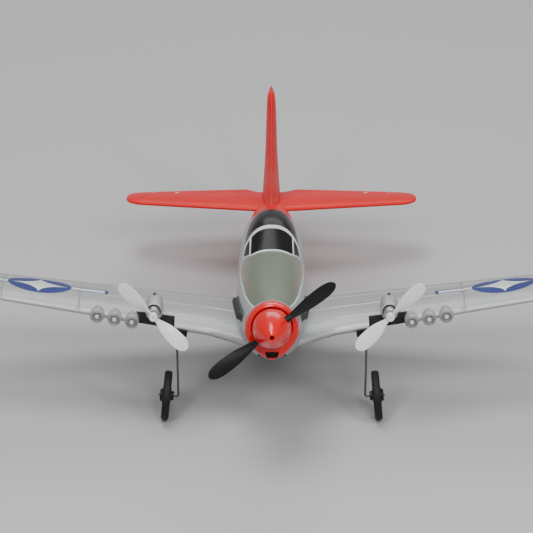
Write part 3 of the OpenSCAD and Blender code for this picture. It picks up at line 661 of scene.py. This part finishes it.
def raw_box(name, lo, hi, place=lambda v: v):
    """Plain box to cut with."""
    return mesh_object(name, row(place(np.array(box_points(lo, hi), float))), BOX_FACES)


battery_bay = raw_box("bay", (-9.5, -25, -6), (9.5, 25, 16), belly)
switch_bay = raw_box("bay", (-5, 27, -6), (5, 37, 5), belly)
boolean(skin, [battery_bay, switch_bay])
done(skin, "airframe", "silver_foam", "fuselage_left", "fuselage_right")

tail_skin = loft("rear_fuselage_skin", body_grid(RED_FROM, TAIL_END, 3.0, [318.0, 352.0]), "red_foam")
done(tail_skin, "airframe", "red_foam", "rear_fuselage")

# cowl ring: rolled front lip, hollow behind the spinner
cowl_ys = [28.6, 28.75, 29.1, 29.6, 30.3, 31.2, 32.3, 33.6, 35.0, 35.7, 36.0]
ring_out = [body_ring(y, -0.25 if y > 35.5 else 0.0) for y in cowl_ys]


def to_circle(ring, r, y):
    """Circle of radius r at y whose points line up with those of ring."""
    out = []
    for p in ring:
        a = math.atan2(p[0], p[2])
        out.append((r * math.sin(a), y, r * math.cos(a)))
    return out


LIP = [(14.2, 28.62), (13.9, 28.9), (13.8, 29.6), (13.8, 33.0), (12.4, 33.2), (3.2, 33.4)]
lip = [to_circle(ring_out[0], r, y) for r, y in LIP]
first = np.array(ring_out[0])
rolled = [tuple(0.35 * np.array(lip[0][j]) + 0.65 * first[j]) for j in range(RING)]
back = [(0.2 * p[0], COWL_Y, -2.5 + 0.2 * (p[2] + 2.5)) for p in ring_out[-1]]
cowl = loft("cowl", lip[::-1] + [rolled] + ring_out + [back], "red_gloss", caps="fan", sharp=40)
INTAKE = [(-4.7, 2.2), (4.7, 2.2), (3.6, -2.2), (-3.6, -2.2)]
INTAKE_Z = -19.3


def intake_prism(name, y0, y1, share, finish=None):
    v = [(x * share, y, INTAKE_Z + z * share) for y in (y0, y1) for x, z in INTAKE]
    return mesh_object(name, row(np.array(v, float)), PRISM_FACES, finish)


boolean(cowl, [intake_prism("mouth", 20.0, 32.6, 1.0)], sharp=40)
done(cowl, "airframe", "red_plastic", "cowl_ring")

# intake grille: a dark back plate with slats
SLAT_PITCH, SLAT_HALF = 1.15, 0.16
slats = [intake_prism("plate", 31.6, 32.5, 0.99, "dark_recess")]
for i in range(-3, 4):
    x = i * SLAT_PITCH
    lo, hi = (x - SLAT_HALF, 30.7, -21.4), (x + SLAT_HALF, 31.7, -17.2)
    slats.append(block("slat", lo, hi, "dark_recess", 0.1))
done(join("intake_grille", slats), "airframe", "black_plastic", "chin_intake")


# ---------------------------------------------------------------- nose deck
DECK_W = [[36, 11.8], [50, 15.2], [69, 18.1], [102, 20.6], [130, 21.6], [147, 21.0]]


def shell(name, outer, inner, material_name):
    """Closed slab between two grids of the same shape."""
    O, I = np.asarray(outer, float), np.asarray(inner, float)
    m, n = O.shape[:2]
    v = np.concatenate([O.reshape(-1, 3), I.reshape(-1, 3)])
    k = m * n
    f = []
    for i in range(m - 1):
        for j in range(n - 1):
            a, b, c, d = i * n + j, i * n + j + 1, (i + 1) * n + j + 1, (i + 1) * n + j
            f += [(a, d, c, b), (k + a, k + b, k + c, k + d)]
    for i in range(m - 1):
        a, d = i * n, (i + 1) * n
        f += [(a, k + a, k + d, d), (a + n - 1, d + n - 1, k + d + n - 1, k + a + n - 1)]
    for j in range(n - 1):
        a, b = j, j + 1
        f.append((a, b, k + b, k + a))
        a, b = (m - 1) * n + j, (m - 1) * n + j + 1
        f.append((a, k + a, k + b, b))
    return mesh_object(name, row(v), f, material_name, 40)


DECK_END = 150.0
DECK_ROWS = 60
DECK_HALF = 24


def deck_grid(y0, wider, off):
    """Points over the nose deck, off mm above the skin and sloping to it at the edge."""
    out = []
    for y in np.linspace(y0, DECK_END, DECK_ROWS):
        w = look(y, DECK_W) + wider
        line = []
        for j in range(-DECK_HALF, DECK_HALF + 1):
            x = w * math.sin(math.radians(j * 90 / DECK_HALF))
            edge = 1 - abs(j) / DECK_HALF
            lift = off * min(1.0, (edge * DECK_HALF / 1.5)) if off > 0 else off
            line.append((x, y, body_top(y, x) + lift))
        out.append(line)
    return out


deck = shell("nose_deck_panel", deck_grid(36.2, 0.0, 0.32), deck_grid(36.2, 0.0, -0.6), "olive")
border = shell("deck_border", deck_grid(36.1, 0.75, 0.12), deck_grid(36.1, 0.75, -0.6), "frame_grey")
done(deck, "airframe", "olive_plastic", "nose_deck")
done(border, "airframe", "light_grey_plastic")
edge_lines = []
for sgn in (-1, 1):
    at = [(sgn * (look(y, DECK_W) - 2.4), y) for y in np.linspace(58, 138, 40)]
    edge_lines.append(tube("line", [(x, y, body_top(y, x) + 0.28) for x, y in at], 0.22, "line_orange", 10))
done(join("deck_edge_lines", edge_lines), "airframe", "red_plastic")

# ---------------------------------------------------------------- canopy
CAN_W = [[157, 19.6], [175, 19.3], [195, 18], [215, 14.8], [230, 10.5], [241, 5]]
CAN_T = [[157, 39], [170, 43.2], [185, 44], [200, 42.6], [218, 37.5], [232, 31.5], [241, 27.8]]


def can_pt(y, a, off=0.0):
    """Point of the canopy hood at y, angle a in degrees from the top."""
    w, t = curve(y, CAN_W) + off, curve(y, CAN_T) + off
    x = w * spow(math.sin(math.radians(a)), 0.86)
    base = body_top(y, x) - 1.5
    return np.array((x, y, base + (t - body_top(y, 0) + 1.5) * max(math.cos(math.radians(a)), 0.0) ** 0.66))


def sill_pt(a, off=0.0):
    x = (20.2 + off) * spow(math.sin(math.radians(a)), 0.86)
    y = 139.5 - off * 0.8 + 15 * max(0.0, (abs(x) - 13) / 7.2) ** 1.3
    return np.array((x, y, body_top(y, x) - 0.2))


def screen_pt(u, a, off=0.0):
    return can_pt(157.0, a, off) * (1 - u) + sill_pt(a, off) * u


ANG = [-90 + 180 * j / 64 for j in range(65)]


def pane(name, surf, stations):
    """Shell 1 mm thick inside surf(station, angle, off)."""
    outer, inner = [[[surf(k, a, off) for a in ANG] for k in stations] for off in (0.0, -1.0)]
    return shell(name, outer, inner, "canopy_black")


hood = pane("canopy_hood", can_pt, list(np.linspace(157, 241, 50)))
screen = pane("windshield_glass", screen_pt, np.linspace(1, 0, 14))
done(hood, "airframe", "black_canopy", "canopy_shell")
done(screen, "airframe", "black_canopy")


def ribbon(name, centre, width, up_off, dn_off, surf):
    """Raised strip with rounded shoulders following surf(u, v, off)."""
    prof = [(-1.0, dn_off), (-0.98, up_off * 0.35), (-0.8, up_off * 0.8), (-0.5, up_off), (0.5, up_off),
            (0.8, up_off * 0.8), (0.98, up_off * 0.35), (1.0, dn_off)]
    rings = [[surf(c, k * width / 2, o) for k, o in prof] for c in centre]
    return loft(name, rings, "frame_grey", caps="fan", sharp=50)


def bow_surf(a, k, off):
    return can_pt(158.2 + k, a, off) if k > -1.2 else screen_pt(min(1.0, (-1.2 - k) / 18.0), a, off)


bow_strip = ribbon("bow", [max(-89.9, min(89.9, a)) for a in ANG], 3.2, 0.9, -0.8, bow_surf)
POST_ANGLE = 46.0
posts = [ribbon("post", list(np.linspace(-0.02, 1.0, 14)), 1.7, 0.75, -0.6,
                lambda u, k, off, sgn=sgn: screen_pt(u, sgn * (POST_ANGLE + k * 1.9), off))
         for sgn in (-1, 1)]


def sill_surf(a, k, off):
    p = screen_pt(1.0, a, 0.4)
    q = screen_pt(0.9, a, 0.4)
    d = (q - p) / np.linalg.norm(q - p)
    n = np.array((0.0, -0.55, 0.83))
    return p + d * (k + 0.7) + n * off


sill_strip = ribbon("sill", ANG, 1.9, 0.7, -0.8, sill_surf)


def rim_surf(y, k, off, sgn):
    p = can_pt(y, sgn * 89.0, 0.3)
    z = body_top(y, p[0]) + 0.2
    return np.array((p[0] + sgn * off * 0.6, y, z + k + 0.3))


rims = []
for sgn in (-1, 1):
    rims.append(ribbon("rim", list(np.linspace(156.5, 241, 40)), 1.9, 0.7, -0.5,
                       lambda y, k, off, sgn=sgn: rim_surf(y, k, off, sgn)))
canopy_frame = join("canopy_frame", [bow_strip, sill_strip] + posts + rims)
done(canopy_frame, "airframe", "light_grey_plastic", "windshield_frame")


# ---------------------------------------------------------------- exhausts
EXHAUST_AT = (18.8, 48.0)
EXHAUST_TURN = math.radians(3.9)


def exhaust_place(v):
    """The left exhaust plate's frame, x outward and y aft, to level millimetres."""
    v = np.asarray(v, float)
    x, y = v[..., 0], v[..., 1]
    c, s = math.cos(EXHAUST_TURN), math.sin(EXHAUST_TURN)
    return np.stack([EXHAUST_AT[0] + x * c + y * s, EXHAUST_AT[1] - x * s + y * c, v[..., 2]], -1)


def rounded_slab(name, lo, hi, r, finish):
    """Plate with rounded ends and softened rim, thickness along local x."""
    pts = []
    corners = ((hi[1] - r, hi[2] - r, 0), (lo[1] + r, hi[2] - r, 90),
               (lo[1] + r, lo[2] + r, 180), (hi[1] - r, lo[2] + r, 270))
    for cy, cz, a0 in corners:
        for k in range(7):
            a = math.radians(a0 + k * 15)
            pts.append((cy + r * math.cos(a), cz + r * math.sin(a)))
    c = ((lo[1] + hi[1]) / 2, (lo[2] + hi[2]) / 2)
    rings = []
    for x, s in ((lo[0], 0.0), (hi[0] - 0.35, 0.0), (hi[0] - 0.1, 0.1), (hi[0], 0.35)):
        rings.append([(x, p[0] + (c[0] - p[0]) * s * 2 / abs(hi[1] - lo[1]),
                       p[1] + (c[1] - p[1]) * s * 2 / abs(hi[2] - lo[2])) for p in pts])
    return loft(name, exhaust_place(rings), finish, caps="fan", sharp=40)


# Each stub: heights along its axis, and its section's share of the full half width and height
STUBS, STUB_PITCH, STUB_SEG = 6, 7.8, 28
STUB_HALF = (1.95, 2.85)
STUB_PROFILE = [(0.0, 1.12), (1.6, 1.1), (2.6, 1.0), (4.2, 1.0), (4.9, 0.97), (5.2, 0.9), (5.05, 0.8),
                (3.6, 0.76)]
STUB_SWEEP = math.radians(50)
stub_axis = np.array((math.cos(STUB_SWEEP), math.sin(STUB_SWEEP), 0.0))
stub_side = np.array((-stub_axis[1], stub_axis[0], 0.0))


def stub_ring(c, h, k):
    ring = []
    for j in range(STUB_SEG):
        a = 2 * math.pi * j / STUB_SEG
        ring.append(c + stub_axis * h + stub_side * (STUB_HALF[0] * k * math.cos(a))
                    + np.array((0, 0, STUB_HALF[1] * k * math.sin(a))))
    return ring


stack = [rounded_slab("plate", (0, 0.2, -1.7), (2.35, 47.8, 5.7), 2.4, "black_matte")]
for i in range(STUBS):
    root = np.array((0.8, 2.6 + i * STUB_PITCH, 2.0))
    rings = [stub_ring(root, h, k) for h, k in STUB_PROFILE]
    stack.append(loft("stub", exhaust_place(rings), "black_matte", caps="fan", sharp=40))
left_stack = join("exhaust_stack_left", stack)
right_stack = mirrored(left_stack, "exhaust_stack_right")
done(left_stack, "airframe", "black_plastic", "exhaust_left")
done(right_stack, "airframe", "black_plastic", "exhaust_right")

# ---------------------------------------------------------------- wings
# Panel lines: chordwise ones at CROSS_LINES; spanwise ones as (share of chord, from x, to x)
CROSS_LINES, CROSS_W = [134.0, 188.0], 0.7
SPAN_LINES, SPAN_W = [(0.36, 24.0, 236.0), (0.14, 30.0, 134.0), (0.74, 26.0, 228.0)], 0.0085
WING_LINE_DEEP = 0.6
FLAP_LINE = 0.7
NS = 40
ROUND_TIP = [SPAN - 14 + 14 * math.sin(math.radians(6 * k)) for k in range(1, 16)]
inner_x = list(np.concatenate([np.linspace(12.5, 60, 26), np.linspace(62, 226, 56)]))
wing_x = with_lines(inner_x + ROUND_TIP, CROSS_LINES, CROSS_W)
shares = {round(0.5 + 0.5 * math.cos(math.pi * i / (NS - 0.5)), 6) for i in range(NS)}
shares = with_lines(sorted(shares, reverse=True), [s for s, _, _ in SPAN_LINES], SPAN_W)[::-1]
shares[0] = 1.0
ring_s = [(s, True) for s in shares] + [(s, False) for s in shares[::-1]]
P = np.array([[wing_pt(x, s, u) for s, u in ring_s] for x in wing_x])
N = normals(P)
for i, x in enumerate(wing_x):
    across = max(groove(x - at, CROSS_W) for at in CROSS_LINES)
    for j, (s, u) in enumerate(ring_s):
        g = across * WING_LINE_DEEP if s > 0.03 else across * WING_LINE_DEEP / 2
        for s0, x0, x1 in SPAN_LINES:
            if x0 <= x <= x1 and (u or s0 > FLAP_LINE):
                g = max(g, WING_LINE_DEEP * groove(s - s0, SPAN_W))
        P[i, j] -= N[i, j] * g
wing = loft("wing_panel_left", P, "wing_foam", sharp=40)
boolean(wing, [raw_box("motor_gap", (67.4, 60, -60), (94, 110, 30))], sharp=40)
wing_r = mirrored(wing, "wing_panel_right")
done(wing, "airframe", "silver_foam", "wing_left")
done(wing_r, "airframe", "silver_foam", "wing_right")

# ---------------------------------------------------------------- wing guns
GUN_X = [97.0, 109.0, 121.0]
AFT = (0, 1, 0)


def gun_frame(x):
    return frame_matrix((x, wing_le(x) - 8, wing_z(x)), AFT, (1, 0, 0))


BULGE = [(0.0, 3.0), (4.3, 3.0), (4.7, 3.2), (4.85, 3.7)] + \
        [(4.85 + 0.25 * math.sin(math.pi * k / 8), 4 + k * 0.9) for k in range(9)] + \
        [(0.4 + 4.45 * math.cos(math.pi / 2 * k / 20) ** 0.9, 11.5 + 22.5 * k / 20) for k in range(1, 20)] + \
        [(0.0, 34.0)]
MUZZLE = [(0.0, 4.9), (2.0, 4.9), (2.0, 1.8), (2.15, 1.6), (2.75, 1.5), (2.9, 1.3), (2.9, 0.45),
          (3.05, 0.2), (3.35, 0.0), (3.65, 0.05), (3.95, 0.4), (4.0, 0.9), (4.0, 12.0), (0.0, 12.0)]
CORE = [(0.0, 1.2), (1.1, 1.2), (1.5, 1.4), (1.7, 1.9), (1.7, 4.9), (0.0, 4.9)]
gun_parts = {"gun_bulges": (BULGE, "silver_foam"), "gun_muzzle_rings": (MUZZLE, "gun_grey"),
             "gun_bore_cores": (CORE, "pale_plastic")}
gun_rows = {}
for part, (profile, finish) in gun_parts.items():
    left = join("g", [lathe("g", profile, gun_frame(x), finish, seg=48, closed=False) for x in GUN_X])
    gun_rows[part] = join(part, [left, mirrored(left, "gm")])
done(gun_rows["gun_bulges"], "airframe", "silver_foam")
done(gun_rows["gun_muzzle_rings"], "airframe", "grey_plastic", "gun_muzzles")
done(gun_rows["gun_bore_cores"], "airframe", "light_grey_plastic", "gun_cores")

# ---------------------------------------------------------------- wing motors
POD_W = [[95, 5.6], [100, 6], [110, 6], [118, 5.6], [126, 4.6], [134, 3.4]]
POD_T = [[95, -0.4], [100, 0.4], [110, 1.4], [118, 1.2], [126, -2.4], [134, -8.2]]
POD_B = [[95, -11.8], [104, -14], [134, -13]]


def pod_ring(y, inset=0.0, n=64):
    """Section of the motor fairing at y."""
    w, t, b = curve(y, POD_W) - inset, curve(y, POD_T) - inset, look(y, POD_B) + inset
    m = min(-6.0, t - 0.8)
    out = []
    for j in range(n):
        a = 2 * math.pi * (j + 0.5) / n
        c = spow(math.cos(a), 0.8)
        x = MOTOR_X + w * spow(math.sin(a), 0.8)
        out.append((x, y, m + (c * (t - m) if c > 0 else c * (m - b))))
    return out


def motor_frame(y):
    return frame_matrix((MOTOR_X, y, -6), AFT, (1, 0, 0))


pod = loft("motor_fairing_left", [pod_ring(95.0, 0.35), pod_ring(95.12, 0.1)] +
           [pod_ring(y) for y in np.linspace(95.4, 134, 44)], "silver_foam", sharp=40)


def pod_bore(r, depth):
    return lathe("bore", [(0, 0), (r, 0), (r, depth), (0, depth)], motor_frame(90.0), None, 64, False)


boolean(pod, [pod_bore(4.95, 9.5), pod_bore(4.3, 17)], sharp=40)
done(mirrored(pod, "motor_fairing_right"), "airframe", "silver_foam", "motor_pod_right")
done(pod, "airframe", "silver_foam", "motor_pod_left")
SLEEVE = [(4.35, 96.2), (4.9, 96.0), (4.9, 99.3), (4.35, 99.3)]
CAN = [(0.55, 85.2), (1.45, 85.2), (1.6, 85.35), (1.6, 86.0), (2.6, 86.0), (2.6, 85.85),
       (3.1, 85.85), (3.1, 86.0), (3.7, 86.0), (4.1, 86.15), (4.25, 86.55), (4.25, 88.4),
       (4.12, 88.55), (4.12, 88.85), (4.25, 89.0), (4.25, 102.2),
       (4.12, 102.35), (4.12, 102.65), (4.25, 102.8), (4.25, 105.5), (3.75, 106), (0.55, 106)]
SCREW = [(0.0, 0.25), (0.35, 0.25), (0.35, 0.55), (0.95, 0.5), (1.15, 0.3), (1.15, -0.8), (0.0, -0.8)]
for part, profile, finish, slot, node in (
        ("motor_sleeve", SLEEVE, "dark_recess", "black_plastic", None),
        ("motor_can", CAN, "steel", "steel_wire", "motor_can")):
    left = lathe(part + "_left", profile, motor_frame(0.0), finish, seg=72)
    right = mirrored(left, part + "_right")
    done(left, "airframe", slot, *([node + "_left"] if node else []))
    done(right, "airframe", slot, *([node + "_right"] if node else []))
marks = [lathe("s", SCREW, frame_matrix((MOTOR_X, y, curve(y, POD_T)), (0, 0, 1)), "black_satin", 32, False)
         for y in (113.0, 119.0)]
left = join("s", marks)
done(join("fairing_screws", [left, mirrored(left, "sm")]), "airframe", "black_plastic")


# ---------------------------------------------------------------- propellers
def spin_y(v, deg):
    """Turns points about y the way the CAD source does."""
    v, a = np.asarray(v, float), math.radians(deg)
    x, z = v[..., 0], v[..., 2]
    return np.stack([x * math.cos(a) - z * math.sin(a), v[..., 1], x * math.sin(a) + z * math.cos(a)], -1)


def blade_rings(r0, r1, c0, c1, t0, pitch, n=40, stations=44):
    wd = [[0, c0], [0.12, c0 * 1.25], [0.4, c1 * 0.92], [0.7, c1], [0.85, c1 * 0.88], [0.95, c1 * 0.6],
          [1, c1 * 0.2]]
    rings = []
    for k in range(stations + 1):
        s = math.sin(math.pi / 2 * k / stations)
        x = r0 + (r1 - r0) * s
        w, t = max(curve(s, wd), 0.4) / 2, t0 * (1 - 0.7 * s) / 2
        a = math.atan2(pitch, 2 * math.pi * x)
        ring = []
        for j in range(n):
            b = -2 * math.pi * (j + 0.5) / n - math.pi / 2
            u, v = w * math.cos(b), t * spow(math.sin(b), 1.15) * (1 + 0.25 * math.cos(b)) / 1.25
            ring.append((x, -u * math.sin(a) + v * math.cos(a), u * math.cos(a) + v * math.sin(a)))
        rings.append(ring)
    return np.array(rings)


def propeller(name, centre, angle, rings, hub, finish, roots=None):
    """Two blades and a hub; roots is the radius and reach of round blade roots."""
    parts = []
    for q in (0, 180):
        R = spin_y(spin_y(rings, q), angle) + np.array(centre)
        parts.append(loft(name, R, finish, sharp=50))
        if roots:
            d = spin_y(spin_y(np.array([1.0, 0, 0]), q), angle)
            r, reach = roots
            path = [np.array(centre) + d * k for k in (0.0, reach * 0.5, reach * 0.9, reach)]
            parts.append(tube(name, path, [r, r, r * 0.95, r * 0.7], finish, 32))
    parts.append(lathe(name, hub, frame_matrix((centre[0], 0.0, centre[2]), AFT, (1, 0, 0)), finish, 64))
    return join(name, parts)


WING_HUB = [(0.52, 77.2), (1.3, 77.0), (2.3, 77.1), (2.75, 77.5), (2.9, 78.1), (2.9, 82.3), (2.7, 82.8),
            (2.3, 83.0), (0.52, 83.0)]
wing_prop = propeller("wing_propeller_left", (MOTOR_X, 80, -6), 45, blade_rings(1.6, 32.5, 4.4, 10.6, 2, 45),
                      WING_HUB, "white_plastic")
right_prop = mirrored(wing_prop, "wing_propeller_right")
done(wing_prop, "left_propeller_set", "white_plastic", "propeller_left")
done(right_prop, "right_propeller_set", "white_plastic", "propeller_right")
NOSE_HUB = [(1.02, 17.2), (3.8, 17.2), (4.2, 17.6), (4.2, 23.0), (3.8, 23.4), (1.02, 23.4)]
NOSE_ANGLE = 37.8
nose_prop = propeller("display_propeller", (0, 20, 0), NOSE_ANGLE, blade_rings(14.4, 53.5, 5, 10, 2.6, 60),
                      NOSE_HUB, "black_satin", roots=(2.3, 17.0))
done(nose_prop, "nose_spinner_set", "black_plastic", "nose_propeller")

# ---------------------------------------------------------------- spinner
SPINNER_R = 13.5
CONE = [(1.5, 0.45), (1.65, 0.25), (2.0, 0.2), (2.45, 0.28)]
CONE += [(max(2.6, SPINNER_R * math.sin(math.pi / 2 * min(1, (y + 1.3) / 27.3)) ** 0.78), y)
         for y in list(np.linspace(0.55, 25.4, 52))]
CONE += [(13.48, 25.75), (13.3, 25.95), (12.0, 26), (12.0, 22), (8.6, 12), (2.8, 10.2), (2.8, 9), (1.5, 8.6)]
nose_frame = frame_matrix((0, 0, 0), AFT, (1, 0, 0))
cone = lathe("spinner_cone", CONE, nose_frame, "red_gloss", seg=144, sharp=40)
slots = []
for sgn in (-1, 1):
    d = spin_y(np.array([sgn * 1.0, 0, 0]), NOSE_ANGLE)
    slots.append(tube("bs", [np.array((0, 20, 0)) + d * k for k in (4, 8, 12, 20)], 2.6, None, 40))
boolean(cone, slots, sharp=40)
done(cone, "nose_spinner_set", "red_plastic", "spinner")
PLATE = [(1.0, 24.6), (11.9, 24.6), (11.9, 26.15), (13.2, 26.15), (13.5, 26.4), (13.5, 27.3),
         (13.2, 27.6), (1.0, 27.6)]
plate = lathe("spinner_backplate", PLATE, nose_frame, "red_gloss", seg=144, sharp=40)
done(plate, "nose_spinner_set", "red_plastic", "spinner_plate")

# ---------------------------------------------------------------- wheels and wire legs
wheel_x = np.array([math.cos(CAMBER), 0, math.sin(CAMBER)])
wheel = frame_matrix(MAIN, wheel_x, (0, 1, 0))
TYRE = [(7.2, -1.8), (9.5, -2.15), (12.6, -2.6), (14.2, -2.74), (15.6, -2.74), (16.35, -2.5), (16.85, -2.1),
        (17.12, -1.6), (17.22, -0.9), (17.25, 0), (17.22, 0.9), (17.12, 1.6), (16.85, 2.1), (16.35, 2.5),
        (15.6, 2.74), (14.2, 2.74), (13.7, 2.58), (12.9, 2.58), (12.4, 2.66), (9.5, 2.15), (7.2, 1.8)]
HUB = [(0.8, -5), (2.8, -5), (3.2, -4.7), (3.4, -3.2), (6.0, -2.7), (7.15, -1.9), (7.15, 1.8), (6.9, 2.3),
       (6.5, 2.6), (5.6, 2.75), (5.5, 3.05), (4.7, 3.2), (4.3, 3.4), (4.2, 4.3), (3.9, 4.65), (1.4, 4.8),
       (1.2, 4.5), (0.8, 4.5)]
TAIL_PROFILE = [(0.8, -2.4), (2.2, -2.4), (2.4, -2.2), (2.8, -1.45), (3.4, -1.5), (6.3, -1.9), (6.9, -1.75),
                (7.3, -1.2), (7.46, -0.6), (7.5, 0), (7.46, 0.6), (7.3, 1.2), (6.9, 1.75), (6.3, 1.9),
                (3.4, 1.5), (2.8, 1.45), (2.4, 2.2), (2.2, 2.4), (0.8, 2.4)]
for part, profile, finish, slot, node in (("tyre", TYRE, "rubber", "black_tyre", "tyre"),
                                          ("wheel_centre", HUB, "black_satin", "black_plastic", "wheel_hub")):
    left = lathe(part + "_on_left", profile, wheel, finish, seg=144, sharp=30)
    right = mirrored(left, part + "_on_right")
    done(left, "left_wheel", slot, node + "_left")
    done(right, "right_wheel", slot, node + "_right")
done(lathe("tail_roller", TAIL_PROFILE, frame_matrix(TAIL, (1, 0, 0), (0, 1, 0)), "rubber", seg=96, sharp=30),
     "tail_wheel_set", "black_tyre", "tail_wheel")
WIRE = 0.75
main_at = np.array(MAIN)
leg_path = smooth_path([(66, 104, -18), (66, 104, -27), main_at - wheel_x * 8.2,
                        main_at + wheel_x * 5.6], 1.6, 6)
leg = tube("wire_leg_left", leg_path, WIRE, "leg_wire", 24)
done(mirrored(leg, "wire_leg_right"), "airframe", "steel_wire", "gear_leg_right")
done(leg, "airframe", "steel_wire", "gear_leg_left")
tail_path = smooth_path([(0, 336, 2), (0, 336, -15), (4, 341, -19), (4, 345, -28.5),
                         (-3.4, 345, -28.5)], 1.2, 6)
done(tube("tail_wire", tail_path, WIRE, "leg_wire", 24), "airframe", "steel_wire", "tail_leg")

# ---------------------------------------------------------------- tailplane and elevators
STAB_LE = [[0, 321], [14, 323], [100, 344], [106, 347.5], [109, 352.5], [110, 359]]
STAB_TE = [[0, 393], [20, 391.5], [100, 381.5], [106, 378.5], [109, 373.5], [110, 367]]
HINGE_X = (24.0, 72.0)


def stab_ring(x, n=28):
    l = look(x, STAB_LE)
    c = look(x, STAB_TE) - l
    t = 6.6 - 2 * x / 110
    thin = 1.0 if x < 96 else math.sqrt(max(0.1, 1 - ((x - 96) / 14.3) ** 2))
    out = []
    for j in range(2 * n):
        i = j if j < n else 2 * n - 1 - j
        s = 0.5 + 0.5 * math.cos(math.pi * i / (n - 0.5))
        h = thin * (t * 5 * thick(s, 0.2) + 0.45 * s)
        out.append((x, l + c * s, 14 + (h if j < n else -h)))
    return out


stab_x = list(np.linspace(3, 96, 50)) + [96 + 14 * math.sin(math.pi / 2 * k / 16) for k in range(1, 17)]
stab = loft("s", [stab_ring(x) for x in stab_x], "red_foam", sharp=40)
cuts = [raw_box("c", (-1, HINGE_Y - 2.2, 0), (HINGE_END + 0.7, 400, 30))]
cuts += [raw_box("c", (x - 1.5, 366, 13.3), (x + 1.5, 378, 14.7)) for x in HINGE_X]
boolean(stab, cuts, sharp=40)
tailplane = join("tailplane_foam", [stab, mirrored(stab, "sm")])
resharpen(tailplane, 40)
done(tailplane, "airframe", "red_foam", "tailplane")


def elevator_ring(x, n=24):
    e, r = look(x, [[8.2, 380.2], [19.5, 391.8], [HINGE_END, 383.2]]), 1.7
    arc = [(x, HINGE_Y + r * math.cos(math.radians(90 + 180 * (i + 0.5) / n)),
            14 + r * math.sin(math.radians(90 + 180 * (i + 0.5) / n))) for i in range(n)]
    return [(x, e, 14.5)] + arc + [(x, e, 13.5)]


elev_x = [8.2, 12, 16, 19.5] + list(np.linspace(22, HINGE_END, 30))
elev = loft("elevator_flap_left", [elevator_ring(x) for x in elev_x], "red_foam", sharp=40)
boolean(elev, [raw_box("c", (x - 2, 374, 10), (x + 2, HINGE_Y + 1.75, 18)) for x in HINGE_X], sharp=40)
done(mirrored(elev, "elevator_flap_right"), "elevator", "red_foam", "elevator_right")
done(elev, "elevator", "red_foam", "elevator_left")

# ---------------------------------------------------------------- fin and rudder
FIN_LE = [[4, 296], [14, 299], [17, 308], [22, 318], [34, 326.5], [60, 339], [84, 351], [91, 358], [95, 368]]
FIN_T = [[4, 14], [16, 13.6], [50, 9.4], [88, 6.6], [95, 4.4]]
NOSE_R = [[-2, 3.4], [16, 3.7], [50, 2.9], [88, 2.1], [95, 1.4]]
RUD_TE = [[-3, 396], [8, 404.5], [30, 410.5], [60, 411], [84, 407], [92, 401], [94.5, 395]]
HINGE_Z = (36.0, 74.0)


def fin_ring(z, k=1.0, n=30):
    l, e, t = look(z, FIN_LE), 385.4 - curve(z, NOSE_R), curve(z, FIN_T) * k
    c, m = e - l, (0.4 if look(z, FIN_LE) > 330 else 0.55)
    out = []
    for j in range(2 * n):
        up = j < n
        i = j if up else 2 * n - 1 - j
        s = 0.5 + 0.5 * math.cos(math.pi * i / (n - 0.5))
        h = t / 2 * math.sin(math.pi / 2 * min(1, (s + 0.01) / m)) * \
            (1 - 0.42 * ((s - m) / (1 - m)) ** 1.6 if s > m else 1)
        out.append((-h if up else h, l + c * s, z))
    return out


FIN_LINES = [39.0, 80.0]
fin_z = with_lines(list(np.linspace(4, 93, 60)), FIN_LINES, 0.45)
fin_rings = [fin_ring(z, 1 - 0.055 * max([groove(z - g, 0.45) for g in FIN_LINES])) for z in fin_z]
for z in (93.4, 93.8, 94.1, 94.35, 94.5):
    fin_rings.append(fin_ring(z, math.sqrt(max(0.05, 1 - ((z - 93) / 1.55) ** 2))))
fin = loft("fin_foam", fin_rings, "red_foam", sharp=40)
boolean(fin, [raw_box("c", (-0.8, 370, z - 2), (0.8, 392, z + 2)) for z in HINGE_Z], sharp=40)
done(fin, "airframe", "red_foam", "fin")


def rudder_ring(z, k=1.0, n=24):
    r, e = curve(z, NOSE_R), curve(z, RUD_TE)
    arc = [(k * r * math.cos(math.radians(180 + 180 * (i + 0.5) / n)),
            386 + r * math.sin(math.radians(180 + 180 * (i + 0.5) / n)), z) for i in range(n)]
    return [(-0.6 * k, e, z)] + arc + [(0.6 * k, e, z)]


rud_z = [-3.0, -2.7, -2.3] + list(np.linspace(-1.8, 93, 60)) + [93.6, 94.1, 94.5]
rud_k = [0.75, 0.9, 0.97] + [1.0] * 60 + [0.95, 0.85, 0.6]
rudder = loft("rudder_foam", [rudder_ring(z, k) for z, k in zip(rud_z, rud_k)], "red_foam", sharp=40)
boolean(rudder, [raw_box("c", (-8, 380, z - 2.6), (8, 388.4, z + 2.6)) for z in HINGE_Z], sharp=40)
done(rudder, "rudder_set", "red_foam", "rudder")

# ---------------------------------------------------------------- finishes on the CAD parts that stay
FINISH = {"wing_spar": "black_satin", "firewalls": "dark_recess", "motor_leads": "wire_red",
          "gear_mount_left": "black_satin", "gear_mount_right": "black_satin", "gear_screws": "steel",
          "elevator_hinges": "white_plastic", "rudder_hinges": "white_plastic", "nose_bush": "brass",
          "battery_tray": "black_satin", "battery": "wrap_blue", "battery_lead": "wire_red",
          "receiver_board": "board", "antenna": "black_satin", "switch_body": "black_satin",
          "hatch_pin": "steel", "nose_shaft": "steel", "motor_shaft_left": "steel",
          "motor_shaft_right": "steel", "elevator_rod": "steel", "battery_hatch": "gun_grey",
          "switch_slider": "white_plastic"}
for node, finish in FINISH.items():
    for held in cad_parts[node].material_slots:
        held.material = MATS[finish]
